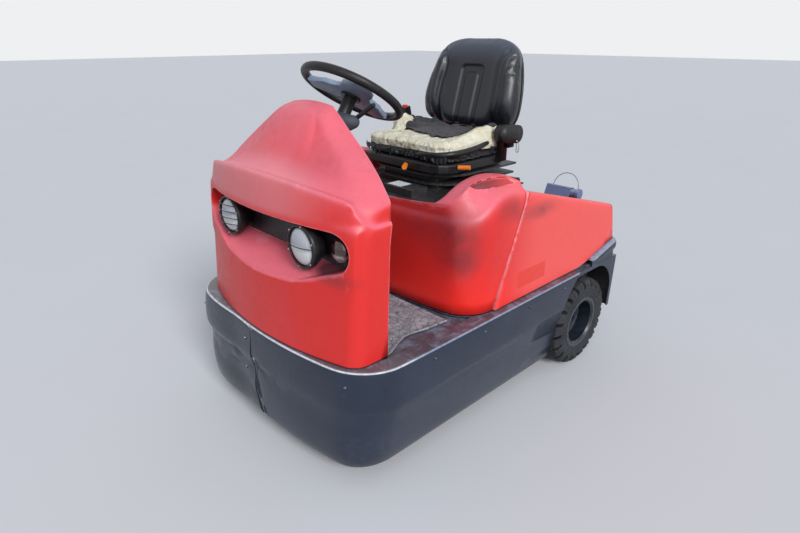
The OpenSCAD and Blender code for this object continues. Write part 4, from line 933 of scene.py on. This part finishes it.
smoothCopy("front_cowl", "cowlMoulding", 2, 46, widenRecess)
digGrips(smoothCopy("seat_hood", "hoodMoulding", 2, 46, waveRed))
cover = smoothCopy("rear_cover", "coverMoulding", 1, 40, waveRed)
skirt = smoothCopy("skirt", "skirtPanel", 2, 50, dentSkirt)

# Steel wall that closes each rear fender behind its wheel, and the closed ends of the cover's side rolls
archSet = {"y": (1606, 1610), "outline": [(340, 458), (511.5, 458), (511.5, 206), (380, 206), (340, 246)]}
rollSet = {"y": (1565.5, 1569.4),
           "outline": [(430.5, 680.6), (441.5, 706.8), (477, 706.8), (483.5, 699.8), (483.5, 680.6)]}


def pairOfPlates(plate):
    forms = Forms()
    for side in (-1, 1):
        forms.grid([[at(side * x, y, z) for x, z in plate["outline"]] for y in plate["y"]], True, True)
    return forms


pairOfPlates(archSet).piece("archWalls", steelBlack, "chassis", "frame_steel", 40)
pairOfPlates(rollSet).piece("rollEnds", red, body_of(cover)[0], slotOf["rear_cover"], 40)

# Red lip in the slanted seam between hood and rear cover: x, z at the hood, x, z at the cover
seamSet = {
    "line": [(487, 477, 497, 477), (485, 680, 494.6, 680), (482, 836, 489.5, 836), (477, 872, 486.5, 872),
             (471, 888, 484, 888), (463, 898, 479, 895.5), (451, 906, 468, 895.5)],
    "low": (706, 477), "high": (890, 896), "flatZ": (880, 905), "deep": 1.2, "thick": 0.0015,
    "hoodSide": 0.9, "coverSide": 7.0, "inset": 1, "lower": 0.6,
}


def seamLip():
    forms = Forms()
    (y0, z0), (y1, z1) = seamSet["low"], seamSet["high"]
    for side in (-1, 1):
        rows = []
        for x, z, xc, zc in seamSet["line"]:
            y = y0 + (min(z, z1) - z0) * (y1 - y0) / (z1 - z0)
            flat = ease(z, *seamSet["flatZ"])
            inward, down = seamSet["deep"] * (1 - flat), seamSet["deep"] * flat
            rows.append([at(side * (x - inward), y + seamSet["hoodSide"], z - down),
                         at(side * (xc - seamSet["inset"] - inward), y + seamSet["coverSide"],
                            zc - down - seamSet["lower"])])
        forms.grid(rows)
    thicken(forms.piece("seamLip", red, "chassis", "red_cover", 60), seamSet["thick"])


seamLip()
print("mouldings and skirt drawn")

# Seat: torn foam cushion with what is left of its cover, and a moulded back pad

seatSet = {
    "voxel": 0.0055, "pressure": 4.0, "cap": 0.006, "frames": 20, "shrink": 0.003,
    "front": 735, "rear": 1120, "top": 1042, "middle": -30, "coveredBelow": 1003, "flat": 30, "square": 80,
    "lump": 0.005, "lumpScale": 26, "pit": 0.0036, "pitScale": 95, "pitLeast": 0.22,
    # a bare block of foam is left of the right bolster: where, what the CAD has there, and what it has now
    "blockSide": (-180, -196), "bolster": [(0, 0), (0.25, 8), (0.45, 30), (0.62, 50), (0.9, 52), (1, 34)],
    "block": [(735, 0), (893, 0), (908, 58), (980, 66), (994, 50), (1120, 34)],
}


def puffed(node, name, finish, shape, levels=0):
    source = frame["nodes"][node]
    piece = addPiece(name, source.data.copy(), finish, body_of(source)[0])
    if levels:
        work = bmesh.new()
        work.from_mesh(piece.data)
        bmesh.ops.remove_doubles(work, verts=work.verts, dist=meshSet["join"])
        toQuads(work, seatSet["flat"], seatSet["square"])
        work.to_mesh(piece.data)
        work.free()
        roundOff(piece, levels)
    pushOut(piece.data, lambda co, normal: -seatSet["shrink"])
    shape(piece.data)
    mesher = piece.modifiers.new("mesher", "REMESH")
    mesher.mode = "VOXEL"
    mesher.voxel_size = seatSet["voxel"]
    bakeModifiers(piece)
    before = [vertex.co.copy() for vertex in piece.data.vertices]
    puff = piece.modifiers.new("puff", "CLOTH")
    puff.settings.use_pressure = True
    puff.settings.uniform_pressure_force = seatSet["pressure"]
    puff.settings.effector_weights.gravity = 0
    for step in range(1, seatSet["frames"] + 1):
        scene.frame_set(step)
    bakeModifiers(piece)
    for vertex, old in zip(piece.data.vertices, before):
        move = vertex.co - old
        if move.length > seatSet["cap"]:
            vertex.co = old + move.normalized() * seatSet["cap"]
    scene.frame_set(1)
    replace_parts(piece, node)
    return piece


def tearFoam(mesh):
    for vertex in mesh.vertices:
        x, y, z = local(vertex.co)
        side = ease(x, *seatSet["blockSide"])
        if z < seatSet["top"] - 30 or side == 0:
            continue
        share = (y - seatSet["front"]) / (seatSet["rear"] - seatSet["front"])
        vertex.co.z += side * (curve(y, seatSet["block"]) - curve(share, seatSet["bolster"])) / 1000


def lumpy(mesh):
    def amount(co, normal):
        push = noise.fractal(co * seatSet["lumpScale"], 1.0, 2.1, 4) * seatSet["lump"]
        pit = noise.fractal(co * seatSet["pitScale"] + Vector((3, 1, 5)), 0.8, 2.2, 3)
        return push - max(0.0, pit - seatSet["pitLeast"]) * 4 * seatSet["pit"]
    pushOut(mesh, amount)


foamCushion = puffed("seat_cushion", "cushionFoam", foam, tearFoam)
lumpy(foamCushion.data)
foamCushion.data.materials.append(vinyl)
for face in foamCushion.data.polygons:       # the cover is still whole low on the sides
    if local(face.center)[2] < seatSet["coveredBelow"] + 6 * noise.noise(face.center * 30):
        face.material_index = 1
smoothFaces(foamCushion.data, 75)

coverSet = {
    # where it is torn off: distance across, from there to the rear it is left
    "torn": [(-262, 1010), (-214, 992), (-196, 985), (-186, 905), (-168, 886), (-150, 896), (-120, 884),
             (-100, 872), (-67, 860), (-52, 872), (-20, 846), (10, 852), (52, 827), (80, 836), (117, 821),
             (130, 862), (142, 905), (160, 960), (176, 1010), (190, 1060)],
    "corner": (-262, 806), "counts": (94, 66), "step": 5.0, "sideEnd": 186, "rearEnd": 1108, "thick": 0.0018,
    "ragged": ((0.05, 12), (0.2, 7)),        # two sizes of tears, and how far they go
    "lift": 3.0, "curl": 5.5, "curlWide": 22, "wave": (0.012, 0.03), "waveTall": 2.0,
    "rearLift": 16, "rearY": (1078, 1106), "rearX": (190, 150),
    "seam": (10, 1130, 190), "seamDeep": 2.2, "seamWide": 5,         # a sewn line runs in an arc
}


def coverLift(x, y, edge):       # how far the cloth stands off the foam
    lift = coverSet["lift"] + coverSet["curl"] * ease(y, edge + coverSet["curlWide"], edge)
    lift += noise.noise(Vector((x * coverSet["wave"][0], y * coverSet["wave"][1], 7))) * coverSet["waveTall"]
    lift += (coverSet["rearLift"] * ease(y, *coverSet["rearY"])
             * ease(abs(x - seatSet["middle"]), *coverSet["rearX"]))
    across, back, radius = coverSet["seam"]
    arc = math.hypot(x - across, (y - back) * 0.9)
    return lift - coverSet["seamDeep"] * math.exp(-((arc - radius) / coverSet["seamWide"]) ** 2)


def coverRest():                 # the dark cloth left on the rear of the cushion
    height = drapedOn(foamCushion)
    forms, spots = bmesh.new(), {}
    (wide, far), (fine, less) = coverSet["ragged"]
    for i in range(coverSet["counts"][0]):
        for j in range(coverSet["counts"][1]):
            x, y = (start + n * coverSet["step"] for start, n in zip(coverSet["corner"], (i, j)))
            ragged = noise.noise(Vector((x * wide, y * wide, 2))) * far
            edge = curve(x, coverSet["torn"]) + (ragged + noise.noise(Vector((x * fine, 4, 1))) * less)
            z = height(x, y)
            if y < edge or x > coverSet["sideEnd"] or y > coverSet["rearEnd"] or z is None:
                continue
            spots[i, j] = forms.verts.new(at(x, y, z + coverLift(x, y, edge)))
    for i, j in spots:
        ring = [spots.get(key) for key in ((i, j), (i + 1, j), (i + 1, j + 1), (i, j + 1))]
        if None not in ring:
            forms.faces.new(ring)
    bmesh.ops.delete(forms, geom=[v for v in forms.verts if not v.link_faces], context="VERTS")
    bmesh.ops.smooth_vert(forms, verts=forms.verts, factor=0.5,
                          use_axis_x=False, use_axis_y=False, use_axis_z=True)
    piece = addPiece("cushionCover", meshOf(forms, "cushionCover"), cloth, "seat_and_hood")
    thicken(piece, coverSet["thick"], 1)
    roundOff(piece)
    smoothFaces(piece.data, 60)


coverRest()

backSet = {
    "place": (-30, 1090, 1054), "lean": 16, "facing": (0.1, 0.6),
    "wider": 1.07, "widerTop": 0.08, "widerZ": (1.27, 1.38),         # wider at the top, heights in metres
    "outer": (61, 262, 22), "inner": (33, 232, 18), "channel": 0.010, "channelEdge": (-6, 8),
    "crease": 0.010, "creaseWide": 12,
    "bolster": 0.0022, "bolsterFrom": 152, "bolsterWide": 40, "bolsterHigh": (20, 310), "bolsterFade": 40,
    # creases inside the bolsters: across and up the back
    "creases": ([(-172, 322), (-150, 290), (-141, 262), (-142, 227), (-149, 183), (-153, 112), (-148, 14)],
                [(172, 322), (152, 290), (143, 262), (143, 227), (147, 183), (151, 112), (150, 14)]),
}


def boxed(u, h, size):           # distance inside a panel with round upper corners
    half, top, r = size
    dx, dy = abs(u) - half + r, h - top + r
    return r - math.hypot(max(dx, 0), max(dy, 0)) - min(max(dx, dy), 0)


def backShape(mesh):
    lean = math.radians(backSet["lean"])
    base = at(*backSet["place"])
    up = Vector((0, math.sin(lean), math.cos(lean)))
    out = Vector((0, -math.cos(lean), math.sin(lean)))
    low, high = backSet["bolsterHigh"]

    def amount(co, normal):
        facing = ease(normal.dot(out), *backSet["facing"])
        if facing == 0:
            return 0.0
        span = co - base
        u, h = span.x * 1000, span.dot(up) * 1000
        push = -backSet["channel"] * ease(boxed(u, h, backSet["outer"]), *backSet["channelEdge"])
        push += backSet["channel"] * ease(boxed(u, h, backSet["inner"]), *backSet["channelEdge"])
        for line in backSet["creases"]:
            far = min(farFrom(u, h, *a, *b) for a, b in zip(line, line[1:]))
            push -= backSet["crease"] * math.exp(-(far / backSet["creaseWide"]) ** 2)
            beyond = (abs(u) - backSet["bolsterFrom"]) / backSet["bolsterWide"]
            if 0 < beyond < 1 and low < h < high:
                fade = ease(h, high, high - backSet["bolsterFade"])
                push += backSet["bolster"] * math.sin(math.pi * beyond) * fade
        return push * facing
    pushOut(mesh, amount)


def widerPad(mesh):
    middle = at(*backSet["place"]).x
    for vertex in mesh.vertices:
        share = backSet["wider"] + backSet["widerTop"] * ease(vertex.co.z, *backSet["widerZ"])
        vertex.co.x = middle + (vertex.co.x - middle) * share


backPad = puffed("seat_back_pad", "backCushion", vinylBack, widerPad, 2)
roundOff(backPad)
backShape(backPad.data)
smoothFaces(backPad.data, 80)
print("seat cushion, cover and back pad made")

# Black vinyl left under the front edge: torn to strips, and whole round the left front corner
fringeSet = {
    "start": -262, "wide": 462, "steps": 150, "half": 245, "front": 729,
    "corner": 62, "cornerFrom": 0.62, "cornerShare": 0.38,           # shares of the half width
    "z": 1011, "drops": (0, 10, 20, 30, 40), "thick": 0.0012, "lower": 6, "lowerX": (60, -160),
    "wholeX": (120, 170), "foldX": (150, 110),                       # where it isn't torn, and not folded
    "roll": ((60, 727, 996), (110, 729, 998), (150, 734, 1000), (186, 748, 1003), (207, 775, 1006),
             (217, 815, 1008), (221, 870, 1012), (221, 930, 1020), (218, 985, 1030)),
    "rollRadius": 0.0095, "rollSwell": 0.003,
}


def fringe():
    outline, rows = [], []
    for k in range(fringeSet["steps"] + 1):
        x = fringeSet["start"] + fringeSet["wide"] * k / fringeSet["steps"]
        share = min(1.0, abs(x - seatSet["middle"]) / fringeSet["half"])
        out = max(0.0, (share - fringeSet["cornerFrom"]) / fringeSet["cornerShare"])
        turned = 1 - math.sqrt(max(0.0, 1 - out ** 2))
        outline.append((x, fringeSet["front"] + fringeSet["corner"] * turned))
    for level, drop in enumerate(fringeSet["drops"]):
        row = []
        for k, (x, y) in enumerate(outline):
            torn = 0.35 + 0.65 * abs(noise.noise(Vector((x * 0.045, 3, 8)))) * 1.6
            torn = min(1.0, max(torn, ease(x, *fringeSet["wholeX"])))
            wave = noise.noise(Vector((x * 0.11, level * 0.6, 1))) * (2 + level * 1.4)
            fold = math.sin(k * 1.9 + math.sin(k * 0.7)) * level * 0.8 * ease(x, *fringeSet["foldX"])
            z = fringeSet["z"] - drop * torn * (1.0 + 0.12 * math.sin(k * 1.3))
            z -= fringeSet["lower"] * ease(x, *fringeSet["lowerX"])
            row.append(at(x, y - 1.5 - level * 0.9 + wave * 0.6 + fold * 0.5, z))
        rows.append(row)
    forms = Forms()
    forms.grid(rows)
    piece = forms.piece("fringeStrips", vinyl, "seat_and_hood", "seat_vinyl", 70)
    thicken(piece, fringeSet["thick"])
    smoothFaces(piece.data, 60)


def vinylRoll():
    forms = Forms()
    forms.tube([at(*p) for p in fringeSet["roll"]],
               lambda t: fringeSet["rollRadius"] + fringeSet["rollSwell"] * math.sin(t * math.pi), 12)
    piece = forms.piece("vinylRoll", vinyl, "seat_and_hood", "seat_vinyl", 70)
    roundOff(piece)
    smoothFaces(piece.data, 70)


fringe()
vinylRoll()

# Lamps: bowl mirrors and bulbs behind the lenses, screws on the rings. Profiles: distance out, and forwards
lampSet = {
    "x": 223, "y": 142, "z": 824, "screwRing": 0.0676, "screwOut": 0.0735, "screw": (0.0052, 0.0028),
    "bowl": [(0.004, 0.0135), (0.012, 0.0145), (0.030, 0.024), (0.0445, 0.0385), (0.0532, 0.0505),
             (0.0545, 0.0512), (0.0545, 0.0506), (0.0452, 0.0375), (0.030, 0.023), (0.012, 0.0135)],
    "bulb": [(0.0, 0.0148), (0.011, 0.0148), (0.012, 0.030), (0.009, 0.036), (0.0, 0.038)],
    "lens": [(0.0, 0.084), (0.018, 0.0832), (0.034, 0.0802), (0.048, 0.0752), (0.057, 0.0695),
             (0.0612, 0.064), (0.0612, 0.062), (0.056, 0.066), (0.047, 0.0722), (0.034, 0.0772),
             (0.018, 0.0802), (0.0, 0.081)],
}


def lampInsides():
    bowls, bulbs, screws, lenses = Forms(), Forms(), Forms(), Forms()
    ahead = (0, -1, 0)
    for side in (-1, 1):
        place = at(side * lampSet["x"], lampSet["y"], lampSet["z"])
        bowls.turned(lampSet["bowl"], place, ahead, 64)
        bulbs.turned(lampSet["bulb"], place, ahead, 24)
        lenses.turned(lampSet["lens"], place, ahead, 64)
        for a in (math.radians(20 + 60 * k) for k in range(6)):
            spot = Vector((math.cos(a) * lampSet["screwRing"], -lampSet["screwOut"],
                           math.sin(a) * lampSet["screwRing"]))
            screws.screw(place + spot, ahead, *lampSet["screw"])
    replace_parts(lenses.piece("lampLenses", lampLens, "chassis", "lamp_glass", 50), "headlamp_lenses")
    bowls.piece("lampBowls", mirror, "chassis", "lamp_glass", 50)
    bulbs.piece("lampBulbs", label, "chassis", "lamp_glass", 40)
    screws.piece("lampScrews", brightSteel, "chassis", "bare_steel", 30)


lampInsides()
smoothCopy("headlamp_housings", "lampRings", 0)
smoothCopy("indicators", "indicatorLamps", 0)
smoothCopy("rear_bumper", "bumperBand", 1, 50)
smoothCopy("seat_back_shell", "backShell", 1, 50)
smoothCopy("belt_reel", "reelCase", 0)
print("lamps and bumper drawn")

# Steering wheel: a pressed plate with three arms, and a cap over its nut
wheelSet = {
    "place": (0, 474, 1234), "tilt": 32, "hub": 0.072, "dish": 0.004, "arms": (90, 210, 330), "hubAngle": 50,
    "arm": ((0.092, 0.057), (0.125, 0.040), (0.163, 0.028)),       # distance out, half width
    # the plate's edge, from below upwards: how far it steps in, and its height
    "rings": ((0.004, -0.0125), (0.0, -0.010), (0.0, 0.003), (0.003, 0.0062), (0.008, 0.0075)),
    "cap": [(0.058, 0.0065), (0.056, 0.011), (0.050, 0.0145), (0.040, 0.0155), (0, 0.0105)],
}


def plateOutline():
    outline = []

    def hubPoint(turn):
        a = math.radians(turn)
        outline.append((math.cos(a) * wheelSet["hub"], math.sin(a) * wheelSet["hub"]))

    for arm in wheelSet["arms"]:
        hubPoint(arm - 60)
        hubPoint(arm - wheelSet["hubAngle"])
        a = math.radians(arm)
        ahead, side = Vector((math.cos(a), math.sin(a))), Vector((-math.sin(a), math.cos(a)))
        outline.extend(tuple(ahead * far - side * wide) for far, wide in wheelSet["arm"])
        outline.extend(tuple(ahead * far + side * wide) for far, wide in wheelSet["arm"][::-1])
        hubPoint(arm + wheelSet["hubAngle"])
    return outline


def spokePlate():
    turn = Matrix.Rotation(-math.radians(wheelSet["tilt"]), 3, "X")
    place = at(*wheelSet["place"])
    rings = []
    for inset, z in wheelSet["rings"]:
        ring = []
        for x, y in plateOutline():
            r = math.hypot(x, y)
            ring.append(place + turn @ Vector((x * (1 - inset / r), y * (1 - inset / r),
                                               z - wheelSet["dish"] * ease(r, 0.06, 0.15))))
        rings.append(ring)
    plate, cap = Forms(), Forms()
    plate.grid(rings, True, True)
    plate.piece("spokePlate", spokeGrey, "hand_wheel", slotOf["steering_wheel"], 40)
    cap.turned(wheelSet["cap"], place, turn @ Vector((0, 0, 1)), 40)
    cap.piece("wheelCap", plastic, "hand_wheel", slotOf["steering_wheel"], 40)


spokePlate()
print("steering wheel dressed")

# Tyres: raised rings on the walls, and ribs on the shoulders between the lug grooves
tyreSet = {
    "lugs": 20, "half": 55, "axle": 205, "rings": (129, 146, 161), "ringWide": 3.4, "ringProud": 1.4,
    "ringSteps": 96, "ribHalf": 4.2, "ribShares": (0.34, 0.66),
    "rib": [(171, 54), (176, 56.4), (190, 53.4), (202.6, 43), (203, 37), (190, 47), (176, 51)],
    # body, x, y, and which way its treads lean
    "wheels": (("front_wheel", 0, 285, 1), ("rear_wheel_left", 468, 1355, 1),
               ("rear_wheel_right", -468, 1355, -1)),
}


def tyreRelief(body, x, y, way):
    forms, middle = Forms(), at(x, y, tyreSet["axle"])
    wide, low, high = tyreSet["ringWide"] / 2, tyreSet["half"] - 1, tyreSet["half"] + tyreSet["ringProud"]
    turns = [math.tau * k / tyreSet["ringSteps"] for k in range(tyreSet["ringSteps"])]

    def spot(angle, far, out, slip=0.0):         # angle round the axle, distance from it, distance along it
        ahead = Vector((0, math.sin(angle), -way * math.cos(angle)))
        return middle + (ahead * far + Vector((out, 0, 0)) + Vector((1, 0, 0)).cross(ahead) * slip) / 1000

    for side in (-1, 1):
        for ring in tyreSet["rings"]:
            profile = ((ring - wide, low), (ring - wide / 2, high), (ring + wide / 2, high),
                       (ring + wide, low))
            rows = [[spot(angle, r, side * out) for angle in turns] for r, out in profile]
            forms.grid(rows + rows[:1], True)
        for i in range(tyreSet["lugs"]):
            for share in tyreSet["ribShares"]:
                angle = math.tau * (i + side * way * 0.25 + share) / tyreSet["lugs"]
                forms.grid([[spot(angle, r, side * out, slip) for r, out in tyreSet["rib"]]
                            for slip in (-tyreSet["ribHalf"], tyreSet["ribHalf"])], True, True)
    forms.piece(body + "_relief", rubber, body, slotOf["front_tyre"], 34)


for wheel in tyreSet["wheels"]:
    tyreRelief(*wheel)
print("tyres given their relief")

# Small things on the seat: blank labels, a bent wire at the belt reel, the buckle's button
smallSet = {
    "label": ((6, 630), (78, 630), (78, 690), (6, 690)), "labelZ": (885.4, 886.2),
    "tag": ((-92, 748, 849.5), (-70, 776, 851.2)), "button": ((-292, 996, 1113), (-272, 1012, 1130)),
    "wire": [(268, 1096, 1028), (276, 1100, 1018), (279, 1101, 1000), (277, 1101, 986), (271, 1101, 980),
             (266, 1101, 986), (267, 1101, 1002), (264, 1100, 1020)], "wireRadius": 0.0016,
}


def seatTrim():
    tag, wire, button = Forms(), Forms(), Forms()
    tag.grid([[at(x, y, z) for x, y in smallSet["label"]] for z in smallSet["labelZ"]], True, True)
    tag.block(*(at(*p) for p in smallSet["tag"]))
    tag.piece("blankLabel", label, "seat_and_hood", "bare_steel", 30)
    wire.tube(rounded([at(*p) for p in smallSet["wire"]], 5), smallSet["wireRadius"], 6)
    wire.piece("wireLoop", brightSteel, "seat_and_hood", "bare_steel", 60)
    button.block(*(at(*p) for p in smallSet["button"]))
    button.piece("buckleButton", redPlastic, "seat_and_hood", "red_cover", 30, 0.0015)


# On the skirt: screws, and the split in the nose, which gapes where the last number is greater
skirtSet = {
    "noseScrews": ((-76, 409), (-106, 272), (-430, 420), (430, 420)),                # x, z
    "sideScrews": (360, 620, 900, 1150), "sideScrewZ": 440, "screw": (0.009, 0.0035, 20),
    "ahead": -200, "aside": 700,             # where the rays start that find the skirt's face
    "split": ((((-26, 470), (-36, 425), (-43, 395), (-54, 335)), 0.0004),
              (((-52, 318), (-40, 298), (-52, 240), (-58, 198), (-52, 150), (-43, 92)), 0.0045),
              (((-60, 322), (-52, 318), (-30, 316), (18, 310)), 0.0004)),
    "splitRadius": 0.0008,
}


def skirtTrim():
    screws, split, cast = Forms(), Forms(), castOn(skirt)
    lines = [((x, skirtSet["ahead"], z), (0, 1, 0)) for x, z in skirtSet["noseScrews"]]
    lines += [((side * skirtSet["aside"], y, skirtSet["sideScrewZ"]), (-side, 0, 0))
              for side in (-1, 1) for y in skirtSet["sideScrews"]]
    for start, way in lines:
        spot, normal = cast(start, way)
        if spot is not None:
            screws.screw(spot + normal * 0.0002, normal, *skirtSet["screw"])
    screws.piece("skirtScrews", slate, "chassis", "skirt_steel", 30)
    for line, gape in skirtSet["split"]:
        points = rounded([Vector((x, 0, z)) for x, z in line], 5)
        hits = [cast((p.x, skirtSet["ahead"], p.z), (0, 1, 0)) for p in points]
        path = [spot + normal * 0.0001 for spot, normal in hits if spot is not None]
        split.tube(path, lambda t: skirtSet["splitRadius"] + gape * t * t, 6)
    split.piece("skirtSplit", plastic, "chassis", "skirt_steel", 60)


seatTrim()
skirtTrim()

# The rubber mat, shrunk and curled up along its left edge: how far the edge reaches at each distance back
matSet = {"edge": [(170, 452), (250, 440), (300, 415), (348, 396), (393, 401), (450, 415), (540, 421)],
          "keep": 250, "side": 461, "step": 14, "curl": 0.006, "wavy": 0.0012}


def matTop():
    source = frame["nodes"]["floor_mat"]
    work = bmesh.new()
    work.from_mesh(source.data)
    low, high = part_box("floor_mat")
    for axis in (0, 1):
        place = low[axis] + matSet["step"] / 1000
        while place < high[axis]:
            spot, way = Vector(), Vector()
            spot[axis], way[axis] = place, 1
            bmesh.ops.bisect_plane(work, geom=work.verts[:] + work.edges[:] + work.faces[:],
                                   plane_co=spot, plane_no=way, dist=0.00001)
            place += matSet["step"] / 1000
    keep = matSet["keep"]
    for vertex in work.verts:
        x, y, z = local(vertex.co)
        if x > keep:
            share = (x - keep) / (matSet["side"] - keep)
            vertex.co.x = (keep + (curve(y, matSet["edge"]) - keep) * share) / 1000
            vertex.co.z += matSet["curl"] * ease(share, 0.86, 1.0) * (0.6 + 0.6 * noise.noise(vertex.co * 12))
        vertex.co.z += matSet["wavy"] * max(0, noise.noise(vertex.co * 18)) * ease(z, 470, 475)
    piece = addPiece("matTop", meshOf(work, "matTop"), matRubber, "chassis")
    smoothFaces(piece.data, 40)
    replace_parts(piece, "floor_mat")


matTop()
print("small things added")
